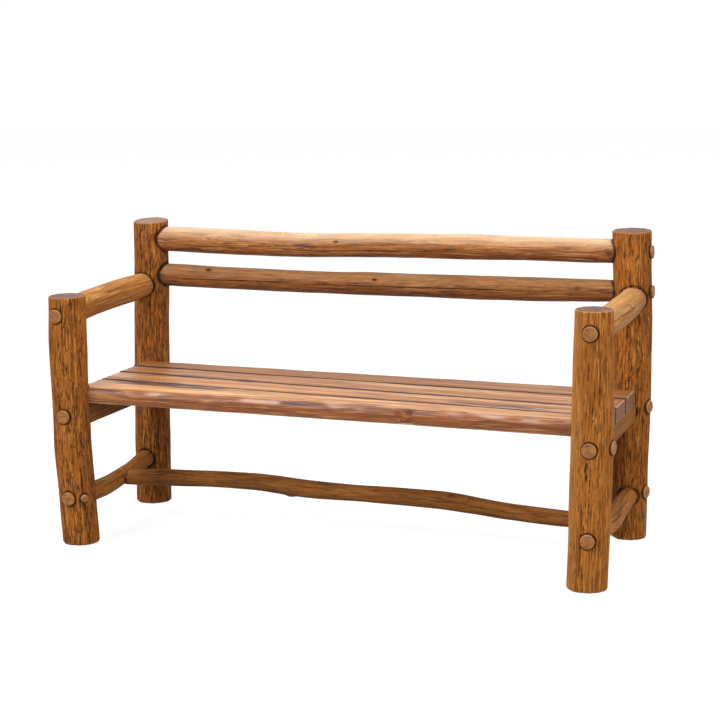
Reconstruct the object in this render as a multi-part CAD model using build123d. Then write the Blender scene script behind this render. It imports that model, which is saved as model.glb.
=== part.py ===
"""Rustic log bench: four peeled posts, round rails with turned tenons, squared bearers and a plank seat.

Millimetres. X runs along the seat, Y from the front to the back, Z up. Left and right are as seen
from the front. The bench is laid out about the middle of its four posts, and at the end it is shifted
so that the origin is the middle of its underside.
"""
import os
from dataclasses import dataclass
from math import atan, cos, radians, sin, sqrt

from build123d import *

# ---- Posts: peeled logs, a little bowed, with bevelled tops and worn feet ----
POST_SPACING_ALONG = 1508.0
POST_SPACING_DEEP = 530.0
FRONT_POST_LEFT_ABOVE_ARM = 54.0
FRONT_POST_RIGHT_ABOVE_ARM = 58.0
BACK_POST_LEFT_ABOVE_RAIL = 62.0
BACK_POST_RIGHT_ABOVE_RAIL = 63.0
POST_RADIUS = 54.0
POST_TOP_BEVEL = 3.0
POST_FOOT_ROUND = 6.0

# ---- Back rails, from one back post to the other: the lower one is a drop below the top one ----
TOP_RAIL_RADIUS = 37.0
TOP_RAIL_HEIGHT_LEFT = 832.0
TOP_RAIL_HEIGHT_RIGHT = 829.0
LOWER_RAIL_RADIUS = 34.5
LOWER_RAIL_LEFT_DROP = 112.0
LOWER_RAIL_RIGHT_DROP = 113.0
RAIL_LEFT_TENON_DEPTH = 76.0

# ---- Arm rails: where they cross the posts, by height and by how far out from the posts' line ----
ARM_RADIUS = 39.0
ARM_LEFT_FRONT_HEIGHT = 669.0
ARM_LEFT_BACK_HEIGHT = 693.0
ARM_LEFT_FRONT_OUT = 14.0
ARM_LEFT_BACK_OUT = 8.0
ARM_RIGHT_FRONT_HEIGHT = 682.0
ARM_RIGHT_BACK_HEIGHT = 700.0
ARM_RIGHT_FRONT_OUT = 5.0
ARM_RIGHT_BACK_OUT = 10.0
ARM_BACK_TENON_DEPTH = 32.0

# ---- Seat: tapered planks on a plane that falls a little from left to right ----
SEAT_HEIGHT = 453.0
SEAT_FALL = 13.0
PLANK_THICKNESS = 45.0
PLANK_GAP = 8.0
PLANK_EDGE_ROUND = 6.0
FRONT_PLANK_OVERHANG = 4.0
FRONT_PLANK_WIDTH_LEFT = 142.0
FRONT_PLANK_WIDTH_RIGHT = 83.0
SECOND_PLANK_WIDTH_LEFT = 113.0
SECOND_PLANK_WIDTH_RIGHT = 98.0
THIRD_PLANK_WIDTH_LEFT = 98.0
THIRD_PLANK_WIDTH_RIGHT = 131.0
WANE_TOP_ROUND = 20.0
WANE_BOTTOM_ROUND = 11.0
FRONT_PLANK_POST_CLEARANCE = 0.8
SEAT_BACK_CLEARANCE = 3.0
SEAT_RIGHT_END = 779.0
SEAT_LEFT_END = 738.0
SECOND_PLANK_LEFT_STEP = 3.0
THIRD_PLANK_LEFT_STEP = 8.0
BACK_PLANK_LEFT_STEP = 14.0

# ---- Bearers: squared rails under the seat, from the front posts to the back posts ----
# Their depth and the drop of their tenons are measured from the planks' underside at mid length.
BEARER_WIDTH = 60.0
BEARER_LEFT_DEPTH = 60.0
BEARER_RIGHT_DEPTH = 55.0
BEARER_EDGE_ROUND = 5.0
BEARER_LEFT_OUT = 746.0
BEARER_RIGHT_OUT = 750.0
BEARER_TENON_OUTBOARD = 10.0
BEARER_TENON_DROP = 27.0

# ---- Stretchers near the floor ----
SIDE_STRETCHER_RADIUS = 27.0
SIDE_STRETCHER_FRONT_HEIGHT = 141.0
STRETCHER_LEFT_BACK_HEIGHT = 146.0
STRETCHER_RIGHT_BACK_HEIGHT = 131.0
STRETCHER_LEFT_FRONT_OUT = -2.0
STRETCHER_LEFT_BACK_OUT = 9.0
STRETCHER_RIGHT_FRONT_OUT = 4.0
STRETCHER_RIGHT_BACK_OUT = 6.0
CENTRE_STRETCHER_RADIUS = 25.0
CENTRE_STRETCHER_LEFT_HEIGHT = 133.0
CENTRE_STRETCHER_RIGHT_HEIGHT = 106.0
CENTRE_STRETCHER_BACKSET = 9.0
CENTRE_SHOULDER_ROUND = 6.0
CENTRE_SHOULDER_HOUSING = 7.0
CENTRE_TENON_RADIUS = 12.0
CENTRE_TENON_DEPTH = 20.0

# ---- Joints ----
TENON_RADIUS = 19.5
RAIL_TENON_RADIUS = 18.5
BACK_TENON_DEPTH = 70.0
TENON_PROUD = 6.0
TENON_END_ROUND = 2.5
TENON_CLEARANCE = 0.25
COPE_CLEARANCE = 0.3
MORTISE_FLOOR_CLEARANCE = 0.5

# ---- Pegs: a domed head let into the post, and a slim shank through the tenon ----
# Angles are measured about the post, from its front round to its outboard side.
PEG_HEAD_RADIUS = 18.5
PEG_HEAD_SEAT_DEPTH = 13.0
PEG_HEAD_PROUD = 7.0
PEG_HEAD_ROUND = 4.0
PEG_SHANK_RADIUS = 8.0
PEG_SHANK_PAST_CENTRE = 30.0
PEG_CLEARANCE = 0.2
PEG_RISE = 8.0
PEG_LEFT_ANGLE = 112.0
PEG_RIGHT_FRONT_ANGLE = 86.0
PEG_RIGHT_BACK_ANGLE = 75.0
PIN_HEAD_RADIUS = 11.5
PIN_SHANK_RADIUS = 5.0
PIN_ANGLE = -50.0

# ---- Screws, driven up through the bearers into the planks ----
SCREW_SHANK_RADIUS = 3.0
SCREW_HEAD_RADIUS = 6.0
SCREW_HEAD_THICKNESS = 4.0
SCREW_HEAD_RECESS = 8.0
SCREW_GRIP_IN_PLANK = 30.0
SCREW_CLEARANCE = 0.15
SCREW_PAIR_SHARES = (0.3, 0.7)
SCREW_SINGLE_SHARES = (0.5,)

FRONT_POST_LEFT_HEIGHT = ARM_LEFT_FRONT_HEIGHT + FRONT_POST_LEFT_ABOVE_ARM
FRONT_POST_RIGHT_HEIGHT = ARM_RIGHT_FRONT_HEIGHT + FRONT_POST_RIGHT_ABOVE_ARM
BACK_POST_LEFT_HEIGHT = TOP_RAIL_HEIGHT_LEFT + BACK_POST_LEFT_ABOVE_RAIL
BACK_POST_RIGHT_HEIGHT = TOP_RAIL_HEIGHT_RIGHT + BACK_POST_RIGHT_ABOVE_RAIL
LOWER_RAIL_HEIGHT_LEFT = TOP_RAIL_HEIGHT_LEFT - LOWER_RAIL_LEFT_DROP
LOWER_RAIL_HEIGHT_RIGHT = TOP_RAIL_HEIGHT_RIGHT - LOWER_RAIL_RIGHT_DROP
PLANK_UNDERSIDE = SEAT_HEIGHT - PLANK_THICKNESS
BEARER_TENON_HEIGHT = PLANK_UNDERSIDE - BEARER_TENON_DROP
HALF_ALONG = POST_SPACING_ALONG / 2
HALF_DEEP = POST_SPACING_DEEP / 2
LEFT, RIGHT = -1, 1
FRONT, BACK = -1, 1
SIDES = {LEFT: "left", RIGHT: "right"}
X_AXIS, Y_AXIS, Z_AXIS = Vector(1, 0, 0), Vector(0, 1, 0), Vector(0, 0, 1)


@dataclass
class Log:
    """A peeled log along one main axis: evenly spaced round sections, joined by a smooth skin.

    Each section is (offset along the first cross axis, offset along the second, extra radius). The
    cross axes are X, Y for a post, Y, Z for a rail along the seat and X, Z for one along the sides.
    """

    start: Vector
    end: Vector
    axis: Vector
    radius: float
    sections: list

    def cross_axes(self):
        return [cross for cross in (X_AXIS, Y_AXIS, Z_AXIS) if abs(cross.dot(self.axis)) < 0.5]

    def section(self, share, first, second, swell):
        across_first, across_second = self.cross_axes()
        centre = self.start + (self.end - self.start) * share
        return centre + across_first * first + across_second * second, self.radius + swell

    def solid(self, grow=0.0):
        faces = []
        for count, shape in enumerate(self.sections):
            centre, radius = self.section(count / (len(self.sections) - 1), *shape)
            plane = Plane(origin=centre, x_dir=self.cross_axes()[0], z_dir=self.axis)
            faces.append(plane * Circle(radius + grow))
        return loft(faces)

    def at(self, distance):
        """Centre and radius at a coordinate along the main axis, mixed from the sections beside it."""
        begin = self.start.dot(self.axis)
        share = (distance - begin) / (self.end.dot(self.axis) - begin)
        spans = len(self.sections) - 1
        before = min(max(int(share * spans), 0), spans - 1)
        part = share * spans - before
        mixed = [a + (b - a) * part for a, b in zip(self.sections[before], self.sections[before + 1])]
        return self.section(share, *mixed)


def rod(start, end, radius, end_round=0.0):
    """A round bar from start to end, with the edge of its far end rounded over."""
    along = end - start
    bar = Plane(origin=start, z_dir=along.normalized()) * Cylinder(
        radius, along.length, align=(Align.CENTER, Align.CENTER, Align.MIN))
    if end_round:
        far_edge = bar.edges().sort_by(lambda edge: (edge.center() - end).length)[0]
        bar = fillet(far_edge, end_round)
    return bar


# ---- The four posts ----
def post(side, depth, height, sections):
    foot = Vector(side * HALF_ALONG, depth * HALF_DEEP, 0)
    return Log(foot, foot + Z_AXIS * height, Z_AXIS, POST_RADIUS, sections)


front_posts = {
    LEFT: post(LEFT, FRONT, FRONT_POST_LEFT_HEIGHT, [
        (6, 8, -0.5), (1.5, 4, -0.5), (-4.5, 0, 0), (-6, 0, -0.5), (-7, 0, 1.5), (-5, 0, -0.5)]),
    RIGHT: post(RIGHT, FRONT, FRONT_POST_RIGHT_HEIGHT, [
        (-8, 0, 0.5), (-3, 0, 1), (0, 0, 2.5), (2, 0, 1.5), (3, 0, -0.5), (3.5, 0, -4)]),
}
back_posts = {
    LEFT: post(LEFT, BACK, BACK_POST_LEFT_HEIGHT, [
        (-8, -18, 2), (-8, -14, 2.5), (-6.5, -9, 1.5), (-5, -3, 1.5), (-0.5, 0, 0.5), (2, 0, -1)]),
    RIGHT: post(RIGHT, BACK, BACK_POST_RIGHT_HEIGHT, [
        (0, 0, -3), (0, 0, -1), (2, 0, 1), (2.5, 0, 2), (1.5, 0, 1.5), (-2.5, 0, 1)]),
}


# ---- The two back rails ----
def back_rail(left_height, right_height, radius, sections):
    left = Vector(-HALF_ALONG, HALF_DEEP, left_height)
    right = Vector(HALF_ALONG, HALF_DEEP, right_height)
    return Log(left, right, X_AXIS, radius, sections)


back_rails = {
    "back_rail_top": back_rail(TOP_RAIL_HEIGHT_LEFT, TOP_RAIL_HEIGHT_RIGHT, TOP_RAIL_RADIUS, [
        (0, 1, 1.5), (0, -3, 2), (1, -7, 0), (0, -1.5, -1), (-1, 1, 0), (0, 1, -2), (0, 0, -2)]),
    "back_rail_lower": back_rail(LOWER_RAIL_HEIGHT_LEFT, LOWER_RAIL_HEIGHT_RIGHT, LOWER_RAIL_RADIUS, [
        (0, 2, 1), (0, -2.5, 0), (-1, -5.5, -1), (0, -5, 0), (0, -4.5, 0.5), (1, -3.5, 0.5), (0, 1, -3)]),
}


# ---- Arms and side stretchers ----
def side_log(side, front_out, front_height, back_out, back_height, radius, sections):
    front = Vector(side * (HALF_ALONG + front_out), -HALF_DEEP, front_height)
    back = Vector(side * (HALF_ALONG + back_out), HALF_DEEP, back_height)
    return Log(front, back, Y_AXIS, radius, sections)


arms = {
    LEFT: side_log(LEFT, ARM_LEFT_FRONT_OUT, ARM_LEFT_FRONT_HEIGHT, ARM_LEFT_BACK_OUT,
                   ARM_LEFT_BACK_HEIGHT, ARM_RADIUS,
                   [(0, 0, 0), (0, 6, 1), (0, 6, 1), (0, 4, 1), (0, 0, -3)]),
    RIGHT: side_log(RIGHT, ARM_RIGHT_FRONT_OUT, ARM_RIGHT_FRONT_HEIGHT, ARM_RIGHT_BACK_OUT,
                    ARM_RIGHT_BACK_HEIGHT, ARM_RADIUS,
                    [(0, 0, -1), (0, -3, 0), (2, -4, 1), (3, -2, 0), (0, 0, -3)]),
}
side_stretchers = {
    LEFT: side_log(LEFT, STRETCHER_LEFT_FRONT_OUT, SIDE_STRETCHER_FRONT_HEIGHT, STRETCHER_LEFT_BACK_OUT,
                   STRETCHER_LEFT_BACK_HEIGHT, SIDE_STRETCHER_RADIUS,
                   [(0, 0, 1), (0, -13, 1), (1, -17, 1), (2, -14, 0), (1, -9, -2), (0, 1, 0), (0, 0, 1)]),
    RIGHT: side_log(RIGHT, STRETCHER_RIGHT_FRONT_OUT, SIDE_STRETCHER_FRONT_HEIGHT,
                    STRETCHER_RIGHT_BACK_OUT, STRETCHER_RIGHT_BACK_HEIGHT, SIDE_STRETCHER_RADIUS,
                    [(0, 0, 0), (0, -13, 0), (0, -18, -1), (0, -21, -1), (0, -12, -1), (0, -3, -1),
                     (0, 0, 0)]),
}

# ---- The centre stretcher's crooks: it rises from the left, then falls away to the right ----
CENTRE_STRETCHER_SECTIONS = [
    (0, 0, -1), (3, 9, 0), (5, 17, 0), (-2, 22, 1), (-7, 17, 1.5), (-4, 17, 0.5), (4, 18.5, 1),
    (7, 16, 1), (3, 5, -1), (-2, 1, -1), (0, 0, -3)]


# ---- Joinery: each helper gives the piece that goes in and the hole that takes it ----
def skin_point(log, height, across, outward):
    """Where a level line leaves a post's skin: it runs along outward, at across on the other axis."""
    centre, radius = log.at(height)
    if abs(outward.X) > 0.5:
        return Vector(centre.X + outward.X * sqrt(radius ** 2 - (across - centre.Y) ** 2), across, height)
    return Vector(across, centre.Y + outward.Y * sqrt(radius ** 2 - (across - centre.X) ** 2), height)


def through_tenon(log, height, across, outward, radius):
    """A tenon right through a post, standing proud of the skin that outward points to."""
    skin = skin_point(log, height, across, outward)
    root = skin - outward * (2 * POST_RADIUS + radius)
    tenon = rod(root, skin + outward * TENON_PROUD, radius, TENON_END_ROUND)
    mortise = rod(root, skin + outward * POST_RADIUS, radius + TENON_CLEARANCE)
    return tenon, mortise


def blind_tenon(log, height, across, inward, radius, depth):
    """A tenon that goes into a post along inward, and ends at depth inside it."""
    skin = skin_point(log, height, across, inward * -1)
    root = skin - inward * (POST_RADIUS + radius)
    tenon = rod(root, skin + inward * depth, radius)
    mortise = rod(root, skin + inward * (depth + MORTISE_FLOOR_CLEARANCE), radius + TENON_CLEARANCE)
    return tenon, mortise


def headed_peg(skin, outward, head_radius, shank_radius, shank_end):
    """A peg driven inwards at a point on the skin: its shank ends at shank_end inside the skin."""
    seat = skin - outward * PEG_HEAD_SEAT_DEPTH
    tip = skin - outward * shank_end
    peg = rod(seat, skin + outward * PEG_HEAD_PROUD, head_radius, PEG_HEAD_ROUND)
    peg = peg + rod(seat, tip, shank_radius)
    play = outward * PEG_CLEARANCE
    hole = rod(seat - play, skin + outward * POST_RADIUS, head_radius + PEG_CLEARANCE)
    hole = hole + rod(seat, tip - play, shank_radius + PEG_CLEARANCE)
    return peg, hole


nodes = {}
holes = {}


def add_holes(hole, *names):
    for name in names:
        holes.setdefault(name, []).append(hole)


def coped(body, side, *rows):
    """The body between the posts of one side, hollowed at its ends to sit against them."""
    for row in rows:
        body = body - row[side].solid(COPE_CLEARANCE)
    return body.solids().sort_by(SortBy.VOLUME)[-1]


# ---- Back rails: a blind tenon in the left back post, and one right through the right back post ----
for rail_name, rail in back_rails.items():
    body = coped(coped(rail.solid(), LEFT, back_posts), RIGHT, back_posts)
    left_tenon, left_mortise = blind_tenon(
        back_posts[LEFT], rail.at(-HALF_ALONG)[0].Z, HALF_DEEP, X_AXIS * LEFT, RAIL_TENON_RADIUS,
        RAIL_LEFT_TENON_DEPTH)
    right_tenon, right_mortise = through_tenon(
        back_posts[RIGHT], rail.at(HALF_ALONG)[0].Z, HALF_DEEP, X_AXIS * RIGHT, RAIL_TENON_RADIUS)
    nodes[rail_name] = body + left_tenon + right_tenon
    add_holes(left_mortise, "back_post_left")
    add_holes(right_mortise, "back_post_right")


# ---- Arms, side stretchers and bearers: a tenon through the front post, a blind one in the back post ----
def side_rail(name, side, body, front, back, front_radius, back_radius, back_depth):
    """front and back are the points where the tenons' centre lines cross the posts' centres."""
    word = SIDES[side]
    tenon, mortise = through_tenon(front_posts[side], front.Z, front.X, Y_AXIS * FRONT, front_radius)
    body = coped(body, side, front_posts, back_posts) + tenon
    add_holes(mortise, f"front_post_{word}")
    tenon, mortise = blind_tenon(back_posts[side], back.Z, back.X, Y_AXIS, back_radius, back_depth)
    add_holes(mortise, f"back_post_{word}")
    nodes[f"{name}_{word}"] = body + tenon


for side, log in arms.items():
    side_rail("arm_rail", side, log.solid(), log.at(-HALF_DEEP)[0], log.at(HALF_DEEP)[0],
              TENON_RADIUS, TENON_RADIUS, ARM_BACK_TENON_DEPTH)
for side, log in side_stretchers.items():
    side_rail("side_stretcher", side, log.solid(), log.at(-HALF_DEEP)[0], log.at(HALF_DEEP)[0],
              TENON_RADIUS, TENON_RADIUS, BACK_TENON_DEPTH)

# ---- The seat plane, which the planks lie on and the bearers are cut to ----
seat_slope = atan(SEAT_FALL / POST_SPACING_ALONG)
seat_plane = Plane(
    origin=(0, 0, PLANK_UNDERSIDE), x_dir=(cos(seat_slope), 0, -sin(seat_slope)),
    z_dir=(sin(seat_slope), 0, cos(seat_slope)))
bearer_out = {LEFT: BEARER_LEFT_OUT, RIGHT: BEARER_RIGHT_OUT}
bearer_underside = {LEFT: PLANK_UNDERSIDE - BEARER_LEFT_DEPTH, RIGHT: PLANK_UNDERSIDE - BEARER_RIGHT_DEPTH}
seat_end = {LEFT: SEAT_LEFT_END, RIGHT: SEAT_RIGHT_END}
for side, out in bearer_out.items():
    blank_depth = SEAT_HEIGHT - bearer_underside[side]
    blank = Box(BEARER_WIDTH, POST_SPACING_DEEP, blank_depth, align=(Align.CENTER, Align.CENTER, Align.MIN))
    blank = fillet(blank.edges().filter_by(Axis.Y).group_by(Axis.Z)[0], BEARER_EDGE_ROUND)
    blank = Pos(side * out, 0, bearer_underside[side]) * blank
    sawn = split(blank, bisect_by=seat_plane, keep=Keep.BOTTOM)
    tenon_line = Vector(side * (out + BEARER_TENON_OUTBOARD), 0, BEARER_TENON_HEIGHT)
    side_rail("seat_bearer", side, sawn, tenon_line, tenon_line, TENON_RADIUS, TENON_RADIUS, BACK_TENON_DEPTH)

# ---- Seat planks: three squared ones, and a front one with a rounded waney edge ----
seat_front = -HALF_DEEP - FRONT_PLANK_OVERHANG
back_post_faces = [skin_point(log, SEAT_HEIGHT, log.at(SEAT_HEIGHT)[0].X, Y_AXIS * FRONT).Y
                   for log in back_posts.values()]
seat_back = min(back_post_faces) - SEAT_BACK_CLEARANCE


def plank_edges(widths):
    """Front and back edge of each plank at one end of the seat: the last one is what the others leave."""
    front = seat_front
    edges = []
    for width in widths:
        edges.append((front, front + width))
        front += width + PLANK_GAP
    return edges + [(front, seat_back)]


def plank_profile(front, back, front_top, front_bottom):
    """End section of a plank, from its front to its back edge."""
    outline = Rectangle(back - front, PLANK_THICKNESS, align=(Align.MIN, Align.MIN))
    front_low, front_high = outline.vertices().group_by(Axis.X)[0].sort_by(Axis.Y)
    outline = fillet(front_high, front_top)
    outline = fillet(outline.vertices().sort_by_distance(front_low)[0], front_bottom)
    outline = fillet(outline.vertices().group_by(Axis.X)[-1], PLANK_EDGE_ROUND)
    return Plane.YZ * Pos(front, 0, 0) * outline


left_edges = plank_edges((FRONT_PLANK_WIDTH_LEFT, SECOND_PLANK_WIDTH_LEFT, THIRD_PLANK_WIDTH_LEFT))
right_edges = plank_edges((FRONT_PLANK_WIDTH_RIGHT, SECOND_PLANK_WIDTH_RIGHT, THIRD_PLANK_WIDTH_RIGHT))
plank_names = ("seat_plank_front", "seat_plank_second", "seat_plank_third", "seat_plank_back")
plank_steps = (0.0, SECOND_PLANK_LEFT_STEP, THIRD_PLANK_LEFT_STEP, BACK_PLANK_LEFT_STEP)
for name, at_left, at_right, step in zip(plank_names, left_edges, right_edges, plank_steps):
    is_front = name == "seat_plank_front"
    rounds = (WANE_TOP_ROUND, WANE_BOTTOM_ROUND) if is_front else (PLANK_EDGE_ROUND, PLANK_EDGE_ROUND)
    left_section = Pos(-seat_end[LEFT] - step, 0, 0) * plank_profile(*at_left, *rounds)
    right_section = Pos(seat_end[RIGHT], 0, 0) * plank_profile(*at_right, *rounds)
    plank = seat_plane.location * loft([left_section, right_section], ruled=True)
    if is_front:
        for log in front_posts.values():
            plank = plank - log.solid(FRONT_PLANK_POST_CLEARANCE)
        plank = plank.solids().sort_by(SortBy.VOLUME)[-1]
    nodes[name] = plank

# ---- Centre stretcher: square shoulders housed in the side stretchers, with a round tenon in each ----
centre_ends = {}
for side, log in side_stretchers.items():
    centre, radius = log.at(CENTRE_STRETCHER_BACKSET)
    centre_ends[side] = centre.X - side * (radius - CENTRE_SHOULDER_HOUSING)
centre_stretcher = Log(
    Vector(centre_ends[LEFT], CENTRE_STRETCHER_BACKSET, CENTRE_STRETCHER_LEFT_HEIGHT),
    Vector(centre_ends[RIGHT], CENTRE_STRETCHER_BACKSET, CENTRE_STRETCHER_RIGHT_HEIGHT),
    X_AXIS, CENTRE_STRETCHER_RADIUS, CENTRE_STRETCHER_SECTIONS)
body = centre_stretcher.solid()
body = fillet(body.edges().group_by(Axis.X)[0] + body.edges().group_by(Axis.X)[-1], CENTRE_SHOULDER_ROUND)
for side, word in SIDES.items():
    shoulder = centre_stretcher.at(centre_ends[side])[0]
    outward = X_AXIS * side
    root = shoulder - outward * CENTRE_TENON_DEPTH
    tip = shoulder + outward * CENTRE_TENON_DEPTH
    body = body + rod(root, tip, CENTRE_TENON_RADIUS)
    mortise = rod(root, tip + outward * MORTISE_FLOOR_CLEARANCE, CENTRE_TENON_RADIUS + TENON_CLEARANCE)
    add_holes(mortise, f"side_stretcher_{word}")
    add_holes(centre_stretcher.solid(COPE_CLEARANCE), f"side_stretcher_{word}")
nodes["centre_stretcher"] = body

# ---- Locking pegs: each points at the middle of its post, and its hole runs through one tenon ----
def lock(peg_name, log, side, height, angle, head_radius, shank_radius, *held):
    outward = Vector(side * sin(radians(angle)), -cos(radians(angle)), 0)
    centre, radius = log.at(height)
    peg, hole = headed_peg(
        centre + outward * radius, outward, head_radius, shank_radius, radius + PEG_SHANK_PAST_CENTRE)
    nodes[peg_name] = peg
    add_holes(hole, *held)


for side, word in SIDES.items():
    front_angle = PEG_LEFT_ANGLE if side == LEFT else PEG_RIGHT_FRONT_ANGLE
    back_angle = PEG_LEFT_ANGLE if side == LEFT else PEG_RIGHT_BACK_ANGLE
    bearer_height = BEARER_TENON_HEIGHT + PEG_RISE
    stretcher_height = side_stretchers[side].at(HALF_DEEP)[0].Z + PEG_RISE
    lock(f"bearer_peg_front_{word}", front_posts[side], side, BEARER_TENON_HEIGHT, front_angle,
         PEG_HEAD_RADIUS, PEG_SHANK_RADIUS, f"front_post_{word}", f"seat_bearer_{word}")
    lock(f"bearer_peg_back_{word}", back_posts[side], side, bearer_height, back_angle,
         PEG_HEAD_RADIUS, PEG_SHANK_RADIUS, f"back_post_{word}", f"seat_bearer_{word}")
    lock(f"stretcher_peg_back_{word}", back_posts[side], side, stretcher_height, back_angle,
         PEG_HEAD_RADIUS, PEG_SHANK_RADIUS, f"back_post_{word}", f"side_stretcher_{word}")
pin_height = side_stretchers[LEFT].at(-HALF_DEEP)[0].Z
lock("stretcher_pin_front_left", front_posts[LEFT], LEFT, pin_height, PIN_ANGLE,
     PIN_HEAD_RADIUS, PIN_SHANK_RADIUS, "front_post_left", "side_stretcher_left")

# ---- Screws: up through each bearer, two to a plank, and one in the front plank behind its notch ----
for side, word in SIDES.items():
    screws = []
    bearer_inside = bearer_out[side] - BEARER_WIDTH / 2
    bearer_outside = bearer_out[side] + BEARER_WIDTH / 2
    screw_x = side * (bearer_inside + min(bearer_outside, seat_end[side])) / 2
    bearer_front = skin_point(front_posts[side], BEARER_TENON_HEIGHT, screw_x, Y_AXIS).Y
    plank_underside = seat_plane.origin.Z - screw_x * SEAT_FALL / POST_SPACING_ALONG
    for name, (front, back) in zip(plank_names, left_edges if side == LEFT else right_edges):
        bearing_front = max(front, bearer_front)
        for share in SCREW_SINGLE_SHARES if name == "seat_plank_front" else SCREW_PAIR_SHARES:
            place = Vector(screw_x, bearing_front + share * (back - bearing_front), bearer_underside[side])
            head = place + Z_AXIS * SCREW_HEAD_RECESS
            neck = head + Z_AXIS * SCREW_HEAD_THICKNESS
            tip = Vector(place.X, place.Y, plank_underside + SCREW_GRIP_IN_PLANK)
            screws.append(rod(head, neck, SCREW_HEAD_RADIUS) + rod(neck, tip, SCREW_SHANK_RADIUS))
            play = Z_AXIS * SCREW_CLEARANCE
            counterbore = rod(
                place - Z_AXIS * SCREW_HEAD_RECESS, neck + play, SCREW_HEAD_RADIUS + SCREW_CLEARANCE)
            hole = counterbore + rod(neck, tip + play, SCREW_SHANK_RADIUS + SCREW_CLEARANCE)
            add_holes(hole, f"seat_bearer_{word}", name)
    nodes[f"seat_screws_{word}"] = Compound([screw.solid() for screw in screws])

# ---- The posts themselves: bevelled ends, then every mortise and peg hole ----
for place, row in (("front", front_posts), ("back", back_posts)):
    for side, word in SIDES.items():
        body = row[side].solid()
        body = fillet(body.edges().sort_by(Axis.Z)[0], POST_FOOT_ROUND)
        body = chamfer(body.edges().sort_by(Axis.Z)[-1], POST_TOP_BEVEL)
        nodes[f"{place}_post_{word}"] = body

for name, cuts in holes.items():
    for hole in cuts:
        nodes[name] = nodes[name] - hole

# ---- Shift the whole bench so that the origin is the middle of its underside, and write it out ----
boxes = [shape.bounding_box() for shape in nodes.values()]
low = Vector(*(min(getattr(box.min, axis) for box in boxes) for axis in "XYZ"))
high = Vector(*(max(getattr(box.max, axis) for box in boxes) for axis in "XYZ"))
shift = Pos(-(low.X + high.X) / 2, -(low.Y + high.Y) / 2, -low.Z)
os.makedirs("parts", exist_ok=True)
for name, shape in nodes.items():
    placed = shift * shape
    placed.label = name
    export_step(placed, f"parts/{name}.step")
print("size", high - low, "shift", shift.position)
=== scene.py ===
"""Rustic log bench: peeled logs, a plank seat, round tenons and pegs, dressed around the CAD frame."""
from functools import partial
from math import cos, exp, pi, radians, sin, sqrt

import bmesh
import bpy
from mathutils import Matrix, Vector
from mathutils.noise import noise


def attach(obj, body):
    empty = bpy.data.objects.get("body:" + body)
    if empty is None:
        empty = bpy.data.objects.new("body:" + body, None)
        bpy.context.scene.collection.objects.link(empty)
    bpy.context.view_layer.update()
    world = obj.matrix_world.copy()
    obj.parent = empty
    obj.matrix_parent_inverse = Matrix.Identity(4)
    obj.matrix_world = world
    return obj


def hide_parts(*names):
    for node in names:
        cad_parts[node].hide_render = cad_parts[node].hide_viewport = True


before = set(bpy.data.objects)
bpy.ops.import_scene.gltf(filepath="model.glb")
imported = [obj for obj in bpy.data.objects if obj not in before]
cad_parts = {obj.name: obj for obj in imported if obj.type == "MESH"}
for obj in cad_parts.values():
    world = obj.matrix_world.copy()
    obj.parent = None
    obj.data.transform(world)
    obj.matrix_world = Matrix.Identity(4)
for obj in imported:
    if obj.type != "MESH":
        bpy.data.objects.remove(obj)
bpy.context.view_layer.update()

# ---- The four posts ----
# Softwood logs 110 mm thick, peeled with a drawknife, oiled and left to dry, so that they have opened
# in long checks. They are sawn square at both ends and bored for the rails' round tenons.
MM = 0.001
# Sizes and places are in millimetres from the middle of the four posts. SHIFT takes them into the frame.
SHIFT = Vector((3.25, 2.85, 0.0))
HALF_ALONG, HALF_DEEP = 754.0, 265.0
# Corners round each log, and how far apart its rows of corners are.
AROUND, ROW_STEP = 168, 7.0
TURN = 2 * pi / AROUND


def clamp(value):
    """The value, held between nought and one."""
    return min(max(value, 0.0), 1.0)


def fade(away, sharpness=1.0):
    """One in the middle, falling off to nothing all round like a bell."""
    return exp(-sharpness * away * away)


class Spine:
    """The centre line of a log along one axis, through evenly spaced sections.

    Each section holds the offset along the first cross axis, along the second, and extra radius.
    """

    def __init__(self, axis, start, end, radius, sections=((0, 0, 0), (0, 0, 0))):
        self.axis = axis
        self.cross = [number for number in range(3) if number != axis]
        self.start, self.end = Vector(start), Vector(end)
        self.radius = radius
        self.sections = sections

    def at(self, coordinate):
        """The centre and the radius at a place along the log, on a smooth curve through the sections."""
        begin, finish = self.start[self.axis], self.end[self.axis]
        share = (coordinate - begin) / (finish - begin)
        spans = len(self.sections) - 1
        before = min(max(int(share * spans), 0), spans - 1)
        t = clamp(share * spans - before)
        a, b, c, d = (self.sections[min(max(before + step, 0), spans)] for step in (-1, 0, 1, 2))
        first, second, swell = (
            q + 0.5 * t * (r - p + t * (2 * p - 5 * q + 4 * r - s + t * (3 * (q - r) + s - p)))
            for p, q, r, s in zip(a, b, c, d))
        centre = self.start + (self.end - self.start) * share
        centre[self.cross[0]] += first
        centre[self.cross[1]] += second
        return centre, self.radius + swell

    def across(self, angle):
        """The unit direction at an angle round the log, from the first cross axis to the second."""
        direction = Vector((0.0, 0.0, 0.0))
        direction[self.cross[0]] = cos(angle)
        direction[self.cross[1]] = sin(angle)
        return direction


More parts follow.
